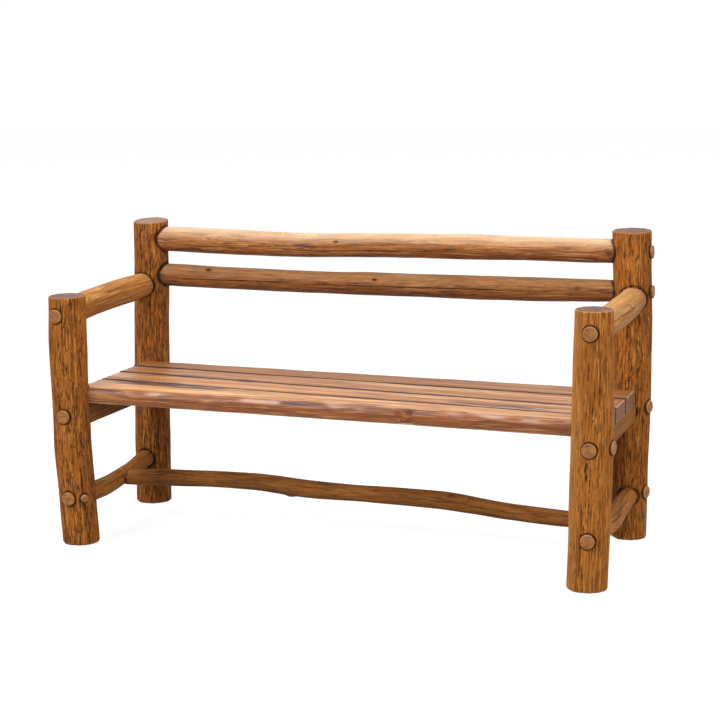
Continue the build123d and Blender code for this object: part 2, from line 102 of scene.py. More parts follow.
class SawnEnd:
    """A sawn end, from the middle of its end grain out over an unevenly eased edge to the skin.

    The tilt is how much lower the front of its edge lies than the back. Each of its rows holds what
    gives a point for an angle, the kind of surface, how worn it is, and how much painted shade it has.
    """

    def __init__(self, coordinate, outward, rim, tilt=0.0):
        self.coordinate, self.outward, self.rim, self.tilt = coordinate, outward, rim, tilt

    def ease(self, angle):
        ragged = noise((cos(angle) * 4.5, sin(angle) * 4.5, self.coordinate / 7.0))
        return self.rim * (1.0 + 0.7 * ragged)

    def level(self, angle, share):
        return self.coordinate - self.outward * 0.5 * self.tilt * (1 - share * sin(angle))

    def skin_limit(self, log, angle, swell):
        return self.level(angle, 1.0) - self.outward * self.ease(angle)

    def seam(self, limit, coordinate):
        """A free end meets no other piece, so its seam is as good as a metre away."""
        return 1000.0

    def face(self, log, share, angle, swell):
        centre = log.spine.at(self.coordinate)[0]
        edge = log.skin_point(angle, self.coordinate, swell - self.ease(angle))
        point = centre.lerp(edge, share)
        point[log.spine.axis] = self.level(angle, share) - self.outward * 0.4 * share ** 6
        return point

    def edge(self, log, share, angle, swell):
        bend, ease = share * pi / 2, self.ease(angle)
        point = log.skin_point(angle, self.coordinate, swell - ease * (1 - sin(bend)))
        point[log.spine.axis] = self.level(angle, 1.0) - self.outward * ease * (1 - cos(bend))
        return point

    def rows(self, log):
        faces = (0.0, 0.06, 0.2, 0.35, 0.5, 0.65, 0.8, 0.92, 1.0)
        return ([(partial(self.face, log, share), "end", 0.0, 0.0) for share in faces]
                + [(partial(self.edge, log, share), "skin", 0.5 * sin(share * pi), 0.0)
                   for share in (0.25, 0.5, 0.75)])


class Shoulder:
    """An end hollowed to sit against a post, with a round tenon that goes into it or right through."""

    play, dome = 0.4, 0.5

    def __init__(self, post, outward, tenon_radius, tip, tip_round, middle=None):
        self.post, self.outward, self.tenon_radius = post, outward, tenon_radius
        self.tip, self.tip_round, self.middle = tip, tip_round, middle

    def face_of_post(self, axis, point):
        centre, radius = self.post.at(point.z)
        level = 1 - axis
        aside = min(abs(point[level] - centre[level]), radius * 0.985)
        return centre[axis] - self.outward * sqrt(radius * radius - aside * aside)

    def seam(self, limit, coordinate):
        """How far a place along the rail is from where it meets the post, where painted shade darkens it."""
        return abs(coordinate - limit)

    def skin_limit(self, log, angle, swell):
        axis = log.spine.axis
        rough = self.post.at(log.spine.at(self.tip)[0].z)[0][axis] - self.outward * 50.0
        return self.face_of_post(axis, log.skin_point(angle, rough, swell)) + self.outward * self.play

    def tenon_point(self, log, angle, reach, coordinate):
        middle = self.middle or log.spine.at(self.tip)[0]
        point = middle + log.spine.across(angle) * reach
        point[log.spine.axis] = coordinate
        return point

    def face(self, log, share, angle, swell):
        return self.tenon_point(log, angle, (self.tenon_radius - self.tip_round) * share,
                                self.tip - self.outward * self.dome * share * share)

    def tip_edge(self, log, share, angle, swell):
        bend = share * pi / 2
        back = self.dome + (self.tip_round - self.dome) * (1 - cos(bend))
        return self.tenon_point(log, angle, self.tenon_radius - self.tip_round * (1 - sin(bend)),
                                self.tip - self.outward * back)

    def shaft(self, log, share, angle, swell):
        far = self.tip - self.outward * self.tip_round
        near = self.face_of_post(log.spine.axis, self.tenon_point(log, angle, self.tenon_radius, self.tip))
        return self.tenon_point(log, angle, self.tenon_radius, far + (near - far) * share)

    def cope(self, log, share, angle, swell):
        limit = self.skin_limit(log, angle, swell)
        inner = self.tenon_point(log, angle, self.tenon_radius, limit)
        point = inner.lerp(log.skin_point(angle, limit, swell), share)
        point[log.spine.axis] = self.face_of_post(log.spine.axis, point) + self.outward * self.play
        return point

    def rows(self, log):
        """The tenon's domed tip, its edge and its shaft, darkened with painted shade where the post hides
        it, and the hollow.
        """
        return ([(partial(self.face, log, share), "end", 0.0, 0.0)
                 for share in (0.0, 0.08, 0.25, 0.45, 0.65, 0.85, 1.0)]
                + [(partial(self.tip_edge, log, share), "end", 0.6 * sin(share * pi), 0.0)
                   for share in (0.33, 0.67, 1.0)]
                + [(partial(self.shaft, log, share), "skin", 0.0, clamp((share - 0.03) / 0.03))
                   for share in (0.035, 0.06, 0.35, 0.65, 1.0)]
                + [(partial(self.cope, log, share), "skin", 0.0, 1.0) for share in (0.35, 0.7)])


# Bumps, flats and the drawknife's ridges: their height, how finely they go round the log, and their length.
SKIN_FORMS = ((1.5, 1.2, 150.0), (0.9, 3.1, 85.0), (0.45, 10.0, 60.0))
SKIN_SUNK = 0.7
CHECK_REACH = 7


class RoundLog:
    """A knot is (angle, place, radius, height, darkness), where a darkness below nothing is a pale spot. A
    check is (angle at its start, angle at its end, start, end, width, depth). All are in degrees and
    millimetres.
    """

    def __init__(self, spine, seed, knots=(), checks=(), painted_highlight=0.0):
        self.spine, self.seed, self.knots, self.checks, self.painted_highlight = spine, seed, knots, checks, painted_highlight

    def near_knots(self, angle, coordinate, stretch, limit):
        """How far aside each near knot is, how many of its radii away, its height and its darkness."""
        for knot_angle, place, radius, height, darkness in self.knots:
            gap = (angle - radians(knot_angle) + pi) % (2 * pi) - pi
            aside = gap * self.spine.radius
            away = sqrt(aside ** 2 + ((coordinate - place) * stretch) ** 2) / radius
            if away < limit:
                yield aside, away, height, darkness

    def swell(self, angle, coordinate):
        """How far the skin stands off the round, with the knots' height added."""
        along = coordinate + self.seed * 311.0
        total = sum(height * noise((cos(angle) * turns, sin(angle) * turns, along / length))
                    for height, turns, length in SKIN_FORMS) - SKIN_SUNK
        for _, away, height, _ in self.near_knots(angle, coordinate, 0.7, 3.0):
            total += height * (fade(away, 1.1) - 0.55 * fade(away, 7.0))
        return total

    def skin_point(self, angle, coordinate, swell):
        centre, radius = self.spine.at(coordinate)
        return centre + self.spine.across(angle) * (radius + swell)

    def columns(self, coordinate):
        """The angle, the depth and the darkness of each corner round the log at one place along it."""
        corners = [[number * TURN, 0.0, 0.0] for number in range(AROUND)]
        for start_angle, end_angle, start, end, width, depth in self.checks:
            t = (coordinate - start) / (end - start)
            if not 0.0 < t < 1.0:
                continue
            ragged = 0.75 + 0.5 * noise((start, 7.0, t * 9.0))
            open_by = min(1.0, 5.0 * t, 5.0 * (1.0 - t)) * ragged
            wander = noise((coordinate / 26.0, start_angle, self.seed)) * 1.6 / self.spine.radius
            middle = radians(start_angle + (end_angle - start_angle) * t) + wander
            column = round(middle / TURN)
            half = 0.5 * width * open_by / self.spine.radius
            for step in range(-CHECK_REACH, CHECK_REACH + 1):
                side = (step > 0) - (step < 0)
                own = middle + side * half
                edge = (column + side * (CHECK_REACH + 1)) * TURN
                part = max(abs(step) - 1, 0) / CHECK_REACH
                corners[(column + step) % AROUND][0] = own + (edge - own) * part
            corners[column % AROUND][1] = depth * open_by
            # Painted shade darkens the check and the corners beside it.
            for step, dark in ((-1, 0.75), (0, 1.0), (1, 0.75)):
                corners[(column + step) % AROUND][2] = dark * open_by
        return corners

    def painted_light_and_shade(self, angle, coordinate):
        """Painted light on the skin: a highlight along the top, or down a post's left side. Painted shade
        counts under nothing.
        """
        patch = noise((cos(angle) * 2.0, sin(angle) * 2.0, coordinate / 90.0 + self.seed * 7.0))
        if self.spine.axis == 2:
            # Darker towards a post's foot: painted shade.
            foot_shade = 0.15 * max(0.0, 1.0 - coordinate / 400.0) * (1.0 + patch)
            return self.painted_highlight * max(-0.15 - cos(angle), 0.0) * (1.0 + 0.4 * patch) - foot_shade
        lean = self.spine.across(angle).z
        if lean > 0.15:
            return self.painted_highlight * (lean - 0.15) * (1.0 + 0.4 * patch)
        # Painted shade under a lying log.
        return 0.5 * min(lean + 0.2, 0.0) * (1.0 + patch)

    def grain(self, angle, coordinate, point):
        """The point's place in the wood: across the pith, and along it, with the grain bent round knots."""
        knot_and_shade, push = 0.0, 0.0
        for aside, away, _, darkness in self.near_knots(angle, coordinate, 0.6, 4.0):
            push += aside * 0.75 * fade(away, 0.45)
            knot_and_shade = max(knot_and_shade, darkness * fade(away, 1.3), key=abs)
        reach = point - self.spine.at(coordinate)[0]
        turned = push / self.spine.radius
        first, second = reach[self.spine.cross[0]], reach[self.spine.cross[1]]
        wood = Vector((first * cos(turned) + second * sin(turned),
                       second * cos(turned) - first * sin(turned), coordinate + self.seed * 500.0))
        return wood, knot_and_shade

    def piece(self, name, materials, near, far):
        """The whole log as one closed mesh: near end, skin, far end."""
        first, last = near.skin_limit(self, 0.0, 0.0), far.skin_limit(self, 0.0, 0.0)
        count = max(8, round(abs(last - first) / ROW_STEP))
        limits = [[end.skin_limit(self, number * TURN, self.swell(number * TURN, limit))
                   for end, limit in ((near, first), (far, last))] for number in range(AROUND)]
        rows = [(*row, first, 0.0) for row in near.rows(self)]
        rows += [(None, "skin", 0.0, 0.0, first + (last - first) * share, share)
                 for share in (step / count for step in range(count + 1))]
        rows += [(*row, last, 1.0) for row in reversed(far.rows(self))]
        corners = []
        for place, kind, wear_and_highlight, hidden_shade, nominal, share in rows:
            for (begin, finish), (angle, depth, dark) in zip(limits, self.columns(nominal)):
                swell = self.swell(angle, nominal)
                if place:
                    point = place(angle, swell - (depth if kind == "skin" else 0.0))
                    coordinate = point[self.spine.axis]
                else:
                    coordinate = begin + (finish - begin) * share
                    point = self.skin_point(angle, coordinate, swell - depth)
                    # Painted shade darkens the skin beside the joint.
                    seam = min(near.seam(begin, coordinate), far.seam(finish, coordinate))
                    dark = max(dark, 0.9 - seam / 9.0)
                wood, knot_and_shade = self.grain(angle, coordinate, point)
                painted_light_and_shade = self.painted_light_and_shade(angle, coordinate) if kind == "skin" else 0.0
                dark = max(dark, knot_and_shade, -painted_light_and_shade)
                pale_wear_and_highlight = max(wear_and_highlight, -knot_and_shade, painted_light_and_shade * (1.0 - clamp(1.5 * dark)))
                corners.append(((point + SHIFT) * MM, wood * MM,
                                hidden_shade if kind == "end" else max(dark, hidden_shade), pale_wear_and_highlight))
        return rolled_grid(name, materials, AROUND, [row[1] for row in rows], corners)


def set_down(shape, name, materials=()):
    """Makes an object of a finished bmesh."""
    mesh = bpy.data.meshes.new(name)
    for material in materials:
        mesh.materials.append(material)
    shape.to_mesh(mesh)
    shape.free()
    piece = bpy.data.objects.new(name, mesh)
    bpy.context.scene.collection.objects.link(piece)
    return piece


def rolled_grid(name, materials, around, kinds, corners):
    """A grid rolled round until its sides meet, with its first and last row each drawn into a point.

    A corner is its place, its place in the wood, how dark it is with real marks and painted shade, and how
    pale it is with wear and painted highlight. The first material covers the skin and the second one the end
    grain.
    """
    shape = bmesh.new()
    wood = shape.verts.layers.float_vector.new("wood")
    dark = shape.verts.layers.float.new("dark")
    wear_and_highlight = shape.verts.layers.float.new("wear_and_highlight")
    rows = len(kinds)
    grid = bmesh.ops.create_grid(shape, x_segments=around, y_segments=rows - 1, size=1.0)["verts"]
    for number, corner in enumerate(grid):
        row, column = divmod(number, around + 1)
        corner.co, corner[wood], corner[dark], corner[wear_and_highlight] = corners[row * around + column % around]
    for number, face in enumerate(shape.faces):
        row = number // around
        face.material_index = 1 if "end" == kinds[row] == kinds[row + 1] else 0
        face.smooth = True
    sides = [grid[row * (around + 1) + column] for row in range(rows) for column in (0, around)]
    tips = grid[:around + 1] + grid[-around - 1:]
    bmesh.ops.remove_doubles(shape, verts=list(set(sides + tips)), dist=1e-6)
    bmesh.ops.recalc_face_normals(shape, faces=shape.faces)
    return set_down(shape, name, materials)


def bars(ends, radius, segments=72):
    """Plain round bars, one for each start and end, used only to bore other pieces."""
    shape = bmesh.new()
    for start, end in ends:
        along = Vector(end) - Vector(start)
        turn = along.to_track_quat("Z", "Y").to_matrix().to_4x4()
        place = Matrix.Translation((Vector(start) + along / 2 + SHIFT) * MM) @ turn
        bmesh.ops.create_cone(shape, cap_ends=True, segments=segments, radius1=radius * MM,
                              radius2=radius * MM, depth=along.length * MM, matrix=place)
    return set_down(shape, "cutter")


def cut(piece, cutter):
    """Takes the cutter's shape out of the piece, and throws the cutter away."""
    for material in piece.data.materials:
        cutter.data.materials.append(material)
    change = piece.modifiers.new("cut", "BOOLEAN")
    change.operation, change.object, change.solver = "DIFFERENCE", cutter, "MANIFOLD"
    graph = bpy.context.evaluated_depsgraph_get()
    made = bpy.data.meshes.new_from_object(piece.evaluated_get(graph))
    piece.modifiers.clear()
    old, piece.data = piece.data, made
    made.name = piece.name
    bpy.data.meshes.remove(old)
    bpy.data.objects.remove(cutter, do_unlink=True)


def hex_colour(text):
    """An sRGB hex colour as linear RGBA."""
    channels = [int(text[place:place + 2], 16) / 255 for place in (1, 3, 5)]
    return [c / 12.92 if c <= 0.04045 else ((c + 0.055) / 1.055) ** 2.4 for c in channels] + [1.0]


def add(tree, kind, inputs=(), **settings):
    """Adds one shader node: settings are its own, inputs are values or the sockets that feed it."""
    node = tree.nodes.new("ShaderNode" + kind)
    for setting, value in settings.items():
        setattr(node, setting, value)
    for socket, value in dict(inputs).items():
        if isinstance(value, bpy.types.NodeSocket):
            tree.links.new(value, node.inputs[socket])
        else:
            node.inputs[socket].default_value = value
    return node


def bare_material(name):
    """A new material whose node tree is still empty."""
    material = bpy.data.materials.new(name)
    material.use_nodes = True
    material.node_tree.nodes.clear()
    return material, material.node_tree


def finish_wood(tree, tone, height, relief, roughness, sheen):
    """The skin of the oil over the finished tone, raised and sunk by the height."""
    bump = add(tree, "Bump", {"Height": height, "Strength": 1.0, "Distance": relief * MM})
    shader = add(tree, "BsdfPrincipled", {
        "Base Color": tone, "Roughness": roughness, "Specular IOR Level": sheen, "Normal": bump.outputs[0]})
    add(tree, "OutputMaterial", {"Surface": shader.outputs[0]})


def lay_over(tree, tone, pattern, begin, full, strength, colour):
    """Draws a colour over a tone, the more so the further a pattern goes from begin to full.

    It gives the new tone and the share that is drawn over. Sockets 6 and 7 are the two colours.
    """
    share = add(tree, "MapRange", {
        "Value": pattern, "From Min": begin, "From Max": full, "To Max": strength},
        interpolation_type="SMOOTHSTEP").outputs["Result"]
    mixed = add(tree, "Mix", {"Factor": share, 6: tone, 7: hex_colour(colour)}, data_type="RGBA")
    return mixed.outputs[2], share


def oiled_wood(name, base, layers, seam, pale_wear_and_highlight, roughness, sheen):
    """Softwood with its grain along it. Each layer of streaks is drawn over the ones before it.

    A layer holds the streaks' width and length in millimetres, the noise values at which they begin and
    are full, their strength, their colour, and how far they stand up in millimetres.
    """
    material, tree = bare_material(name)
    wood = add(tree, "Attribute", attribute_name="wood").outputs["Vector"]
    tone, height = hex_colour(base), 0.0
    for width, length, begin, full, strength, colour, relief in layers:
        along = add(tree, "Mapping", {"Vector": wood, "Scale": (1.0, 1.0, width / length)})
        streaks = add(tree, "TexNoise", {
            "Vector": along.outputs[0], "Scale": 0.5 / (width * MM), "Detail": 3.0, "Roughness": 0.6})
        tone, share = lay_over(tree, tone, streaks.outputs["Fac"], begin, full, strength, colour)
        height = add(tree, "Math", {0: share, 1: relief, 2: height}, operation="MULTIPLY_ADD").outputs[0]
    # Pale wear, pale knots and painted highlight, all mixed in the pale colour.
    wear_and_highlight = add(tree, "Attribute", attribute_name="wear_and_highlight").outputs["Fac"]
    tone = add(tree, "Mix", {"Factor": wear_and_highlight, 6: tone, 7: hex_colour(pale_wear_and_highlight)}, data_type="RGBA").outputs[2]
    # Real knots and marks, and painted shade in checks, joints, gaps and under logs, mixed in the seam
    # colour.
    shade_and_stain = add(tree, "Attribute", attribute_name="dark").outputs["Fac"]
    patchy = add(tree, "Math", {0: streaks.outputs["Fac"], 1: 1.2, 2: 0.4}, operation="MULTIPLY_ADD")
    darkened_share = add(tree, "Math", {0: shade_and_stain, 1: patchy.outputs[0]}, operation="MULTIPLY")
    tone = lay_over(tree, tone, darkened_share.outputs[0], 0.05, 0.9, 1.0, seam)[0]
    finish_wood(tree, tone, height, 1.0, roughness, sheen)
    return material


def end_grain(name, base, pale, line, ring_mm):
    """Wood sawn across: growth rings round the pith, pale and dark blotches, and dark pores in rows."""
    material, tree = bare_material(name)
    wood = add(tree, "Attribute", attribute_name="wood").outputs["Vector"]
    flat = add(tree, "Mapping", {"Vector": wood, "Scale": (1.0, 1.0, 0.0)}).outputs["Vector"]
    rings = add(tree, "TexWave", {
        "Vector": flat, "Scale": 0.314 / (ring_mm * MM), "Distortion": 2.4, "Detail": 2.0,
        "Detail Scale": 0.8}, wave_type="RINGS", rings_direction="Z").outputs["Fac"]
    across = add(tree, "Mapping", {"Vector": wood, "Scale": (0.16, 1.0, 1.0)}).outputs["Vector"]
    pores = add(tree, "TexNoise", {
        "Vector": across, "Scale": 0.5 / (1.6 * MM), "Detail": 2.0}).outputs["Fac"]
    blotches = add(tree, "TexNoise", {
        "Vector": wood, "Scale": 0.5 / (8.0 * MM), "Detail": 4.0, "Roughness": 0.65}).outputs["Fac"]
    tone = lay_over(tree, hex_colour(base), blotches, 0.45, 0.62, 0.7, pale)[0]
    tone = lay_over(tree, tone, rings, 0.4, 0.95, 0.45, line)[0]
    tone = lay_over(tree, tone, pores, 0.5, 0.66, 0.75, line)[0]
    for attribute, colour in (("wear_and_highlight", pale), ("dark", line)):
        share = add(tree, "Attribute", attribute_name=attribute).outputs["Fac"]
        tone = add(tree, "Mix", {"Factor": share, 6: tone, 7: hex_colour(colour)},
                   data_type="RGBA").outputs[2]
    finish_wood(tree, tone, pores, 0.5, 0.6, 0.3)
    return material


def dress(piece, node):
    """Hands a finished piece to the frame in place of its CAD node."""
    piece.data.set_sharp_from_angle(angle=radians(40))
    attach(piece, "root")
    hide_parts(node)


# Pine peeled with a drawknife and oiled brown. It gives short blackish flecks of bast, 3 mm wide, between
# orange fibres, and a dull skin. Real fibres are a tenth of a millimetre: they are drawn 1.4 mm wide.
POST_LAYERS = [
    (45.0, 160.0, 0.46, 0.66, 0.4, "#75401a", 0.0),
    (3.2, 60.0, 0.52, 0.36, 0.8, "#6f3d14", -0.25),
    (2.4, 40.0, 0.5, 0.64, 0.85, "#d38a3e", 0.2),
    (1.4, 20.0, 0.5, 0.35, 0.7, "#562f14", -0.15)]
FLECKS = [
    (3.0, 18.0, 0.565, 0.625, 0.8, "#3b251b", -0.4),
    (1.9, 10.0, 0.57, 0.63, 0.75, "#40291c", -0.2)]
post_wood = oiled_wood("drawknifed_pine_oiled_brown", "#af692b", POST_LAYERS + FLECKS, "#1c120b", "#bf8a55",
                       0.75, 0.08)
# The right front post was peeled deeper: hardly any bast, so its orange fibres show evenly.
clean_post_wood = oiled_wood("drawknifed_pine_peeled_deep", "#b7702e", POST_LAYERS + [
    (2.8, 26.0, 0.6, 0.66, 0.85, "#41261a", -0.4),
    (1.8, 12.0, 0.6, 0.66, 0.7, "#462a1a", -0.2)], "#1c120b", "#dc9a58", 0.72, 0.1)
# The left back post has a darker copy of the post wood, as painted shade, with more bast flecks.
shaded_post_wood = oiled_wood("drawknifed_pine_oiled_darker_painted_shade", "#a16029", POST_LAYERS + FLECKS + [
    (2.0, 16.0, 0.56, 0.62, 0.6, "#382319", -0.2)], "#180f09", "#b98558", 0.72, 0.1)
# Pine sawn across and oiled: purple-brown, dull, with rings 2.5 mm apart and dark pores.
post_end_grain = end_grain("sawn_pine_end_grain_oiled", "#6f5145", "#8a6959", "#452f27", 2.5)
# The left back post's top has lost its oil to sun and rain: the same rings on a paler, dustier ground.
pale_post_end_grain = end_grain("sawn_pine_end_grain_bleached", "#93705e", "#b18e79", "#63453a", 2.5)
# Radii of the round parts that go into the posts, and the play that a hole leaves round a tenon.
TENON, RAIL_TENON, PEG_HEAD, PEG_SHANK = 19.5, 18.5, 18.5, 8.0
BORE_PLAY = 1.3
POST_RADIUS = 54.0
# Place, height, how much lower the front of the top lies, how strongly painted light brightens the left
# side, skin, end grain, sections, knots and checks.
POSTS = {
    "front_post_left": (
        -HALF_ALONG, -HALF_DEEP, 723.0, 2.0, 0.0, post_wood, post_end_grain,
        [(6, 8, -0.5), (1.5, 4, -0.5), (-4.5, 0, 0), (-6, 0, -0.5), (-7, 0, 1.5), (-5, 0, -0.5)],
        [(-68, 560, 7, 0.7, 0.3), (-96, 250, 6, 0.6, 0.3), (150, 400, 12, 1.5, 0.6),
         (60, 180, 10, 1.2, 0.6)],
        [(-78, -80, 590, 715, 1.8, 4.0), (-100, -98, 330, 470, 1.5, 3.0),
         (-45, -44, 90, 260, 1.6, 3.5), (100, 104, 200, 560, 2.4, 6.0)]),
    "front_post_right": (
        HALF_ALONG, -HALF_DEEP, 740.0, 2.0, 0.6, clean_post_wood, post_end_grain,
        [(-8, 0, 0.5), (-3, 0, 1), (0, 0, 2.5), (2, 0, 1.5), (3, 0, -0.5), (3.5, 0, -4)],
        [(-70, 448, 8, 0.8, 0.3), (120, 500, 12, 1.5, 0.6), (60, 250, 10, 1.2, 0.6)],
        [(-103, -101, 30, 215, 2.2, 4.5), (-60, -58, 470, 600, 1.3, 2.6), (-92, -94, 285, 356, 4.0, 2.5),
         (-82, -80, 255, 345, 1.5, 3.0), (75, 80, 120, 480, 2.4, 6.0)]),
    "back_post_left": (
        -HALF_ALONG, HALF_DEEP, 894.0, 10.0, 0.0, shaded_post_wood, pale_post_end_grain,
        [(-8, -18, 2), (-8, -14, 2.5), (-6.5, -9, 1.5), (-5, -3, 1.5), (-0.5, 0, 0.5), (2, 0, -1)],
        [(80, 300, 13, 1.6, 0.6), (120, 640, 11, 1.4, 0.6)],
        [(-70, -68, 640, 800, 1.6, 3.2), (-45, -47, 120, 290, 1.7, 3.4), (95, 90, 420, 850, 2.5, 6.5)]),
    "back_post_right": (
        HALF_ALONG, HALF_DEEP, 892.0, 5.0, 0.0, post_wood, post_end_grain,
        [(0, 0, -3), (0, 0, -1), (2, 0, 1), (2.5, 0, 2), (1.5, 0, 1.5), (-2.5, 0, 1)],
        [(-60, 800, 6, 0.6, 0.3), (110, 350, 13, 1.6, 0.6), (60, 700, 11, 1.3, 0.6)],
        [(-95, -93, 560, 700, 1.6, 3.2), (-40, -42, 160, 420, 1.7, 3.4), (88, 92, 300, 720, 2.5, 6.5)]),
}
FOOT_RIM, TOP_RIM = 7.0, 3.5
posts, post_pieces = {}, {}
for seed, (name, row) in enumerate(POSTS.items(), start=1):
    x, y, height, tilt, painted_highlight, skin, end, sections, knots, checks = row
    posts[name] = Spine(2, (x, y, 0.0), (x, y, height), POST_RADIUS, sections)
    post_pieces[name] = RoundLog(posts[name], seed, knots, checks, painted_highlight).piece(
        name + "_log", [skin, end], SawnEnd(0.0, -1, FOOT_RIM), SawnEnd(height, 1, TOP_RIM, tilt))
# Bores start or end this far from a post's centre line, well clear of its skin.
CLEAR = 90.0


def darken(piece, start, end, radius, reach):
    """Darkens a ring round a line through the piece: painted shade where another piece meets it."""
    line = Vector(end) - Vector(start)
    along = line.normalized()
    painted_shades = piece.data.attributes["dark"].data
    for number, corner in enumerate(piece.data.vertices):
        if abs(corner.co.z / MM - start[2]) > radius + reach:
            continue
        out = corner.co / MM - SHIFT - Vector(start)
        ahead = out.dot(along)
        away = abs((out - along * ahead).length - radius)
        if 0.0 < ahead < line.length and away < reach:
            painted_shades[number].value = max(painted_shades[number].value, 0.9 * (1.0 - away / reach))


def bore(name, start, end, radius):
    """Bores a round hole in a post between two points, with painted shade round its rim."""
    cut(post_pieces[name], bars([(start, end)], radius))
    darken(post_pieces[name], start, end, radius, 4.0)


def paint_joint_shade(post_name, spine, end):
    """Painted shade on a post, round the rail that meets it at this end."""
    centre, radius = spine.at(end)
    inward = Vector((0.0, 0.0, 0.0))
    inward[spine.axis] = -CLEAR if end > 0 else CLEAR
    darken(post_pieces[post_name], centre, centre + inward, radius + 1.5, 7.0)


# ---- The two back rails ----
# Thinner peeled logs between the back posts. Each has a round tenon at both ends: the left one stops
# inside its post, the right one goes through and stands 6 mm proud. Both rails have long drying checks.
PROUD, TIP_ROUND, BLIND_ROUND = 5.75, 2.5, 1.0
# How deep the left tenon goes, and how much deeper its bore is.
BLIND_TENON, BORE_BEYOND = 76.0, 0.5
# Pine drawknifed round and oiled thinly. It gives a tan skin with long purple-brown streaks, a soft sheen
# where the light grazes it, and a pale highlight painted along the top.
RAIL_LAYERS = [
    (26.0, 190.0, 0.48, 0.66, 0.45, "#7b4a2c", 0.0),
    (3.6, 90.0, 0.52, 0.36, 0.7, "#84502b", -0.2),
    (2.6, 70.0, 0.49, 0.65, 0.65, "#d8a573", 0.15),
    (1.4, 26.0, 0.48, 0.36, 0.6, "#6c4125", -0.12),
    (3.2, 46.0, 0.57, 0.635, 0.8, "#46302f", -0.3),
    (2.0, 20.0, 0.58, 0.65, 0.65, "#4c322b", -0.15)]
rail_wood = oiled_wood("drawknifed_pine_oiled_thinly", "#b07038", RAIL_LAYERS, "#1d130d", "#eccca8",
                       0.5, 0.2)
# The lower rail has a darker copy of the rail wood, as painted shade: the same streaks on a browner
# ground, the pale ones only half as strong, and less sheen.
shaded_rail_wood = oiled_wood("drawknifed_pine_oiled_painted_shade", "#98602f", [
    (*layer[:4], layer[4] * (0.5 if layer[5] == "#d8a573" else 1.0), *layer[5:]) for layer in RAIL_LAYERS],
    "#1a110b", "#c99c6c", 0.58, 0.16)
# The tenons' sawn ends, oiled tan: they look like small brown coins with flecks and a pale rim.
tenon_end_grain = end_grain("sawn_pine_tenon_oiled_tan", "#a76c38", "#c48a4c", "#5b3820", 1.8)


def post_right_side(post_name, height):
    """Where the right side of a post's skin is, at one height."""
    centre, radius = posts[post_name].at(height)
    return centre.x + radius


# Height at the left and at the right, radius, sections, knots, checks, the top's painted highlight, and
# wood.
RAILS = {
    "back_rail_top": (832.0, 829.0, 37.0, [
        (0, 1, 1.5), (0, -3, 2), (1, -7, 0), (0, -1.5, -1), (-1, 1, 0), (0, 1, -2), (0, 0, -2)],
        [(157, -128, 6, 0.8, 0.8), (183, 692, 14, 0.5, 0.6), (20, 330, 9, 0.9, 0.6)],
        [(203, 201, -330, 270, 2.0, 2.8)], 0.75, rail_wood),
    "back_rail_lower": (720.0, 716.0, 34.5, [
        (0, 2, 1), (0, -2.5, 0), (-1, -5.5, -1), (0, -5, 0), (0, -4.5, 0.5), (1, -3.5, 0.5), (0, 1, -3)],
        [(152, -8, 6, 1.0, 1.0), (165, 603, 9, 0.8, 0.6), (134, -548, 8, 0.8, 0.8), (10, 300, 9, 1.0, 0.6)],
        [(193, 175, -705, -225, 2.6, 4.0), (186, 180, -310, 570, 2.6, 4.0)], 0.4, shaded_rail_wood),
}
for seed, (name, row) in enumerate(RAILS.items(), start=11):
    left, right, radius, sections, knots, checks, painted_highlight, skin = row
    spine = Spine(0, (-HALF_ALONG, HALF_DEEP, left), (HALF_ALONG, HALF_DEEP, right), radius, sections)
    blind_tip = post_right_side("back_post_left", left) - BLIND_TENON
    proud_tip = post_right_side("back_post_right", right) + PROUD
    piece = RoundLog(spine, seed, knots, checks, painted_highlight).piece(
        name + "_log", [skin, tenon_end_grain],
        Shoulder(posts["back_post_left"], -1, RAIL_TENON, blind_tip, BLIND_ROUND),
        Shoulder(posts["back_post_right"], 1, RAIL_TENON, proud_tip, TIP_ROUND))
    for side, end, begin, finish in (("left", -HALF_ALONG, blind_tip - BORE_BEYOND, -HALF_ALONG + CLEAR),
                                     ("right", HALF_ALONG, HALF_ALONG - CLEAR, HALF_ALONG + CLEAR)):
        height = spine.at(end)[0].z
        bore("back_post_" + side, (begin, HALF_DEEP, height), (finish, HALF_DEEP, height),
             RAIL_TENON + BORE_PLAY)
    paint_joint_shade("back_post_left", spine, -HALF_ALONG)
    paint_joint_shade("back_post_right", spine, HALF_ALONG)
    dress(piece, name)

# ---- The arms ----
# Peeled logs 78 mm thick, with a pale highlight painted along their tops. Their front tenons come right
# through the front posts, and their back ends are hollowed to the back posts.
# Pine drawknifed round, oiled, and rubbed by hands: golden, with long fine grain lines and few flecks.
# Its pale colour marks pale knots and is painted along the tops as a highlight.
arm_wood = oiled_wood("drawknifed_pine_rubbed_golden", "#aa6b2d", [
    (30.0, 170.0, 0.46, 0.68, 0.35, "#8c5427", 0.0),
    (3.6, 110.0, 0.52, 0.38, 0.6, "#855122", -0.2),
    (2.6, 80.0, 0.49, 0.64, 0.75, "#d79c58", 0.15),
    (1.4, 36.0, 0.48, 0.36, 0.55, "#6f431f", -0.12),
    (2.6, 40.0, 0.6, 0.68, 0.4, "#5a3a22", -0.3)], "#1f140b", "#e9bb7f", 0.6, 0.12)
ARM_RADIUS, ARM_BLIND_TENON = 39.0, 32.0


def tenon_tip(post_name, point, beyond):
    """How far a tenon reaches: so far beyond the front of a post's skin, where the tenon crosses it."""
    centre, radius = posts[post_name].at(point.z)
    return centre.y - sqrt(radius ** 2 - (point.x - centre.x) ** 2) + beyond


def side_spine(front, back, radius, sections=((0, 0, 0), (0, 0, 0))):
    """A spine between a front and a back post. Each end is a place along the bench and a height."""
    return Spine(1, (front[0], -HALF_DEEP, front[1]), (back[0], HALF_DEEP, back[1]), radius, sections)


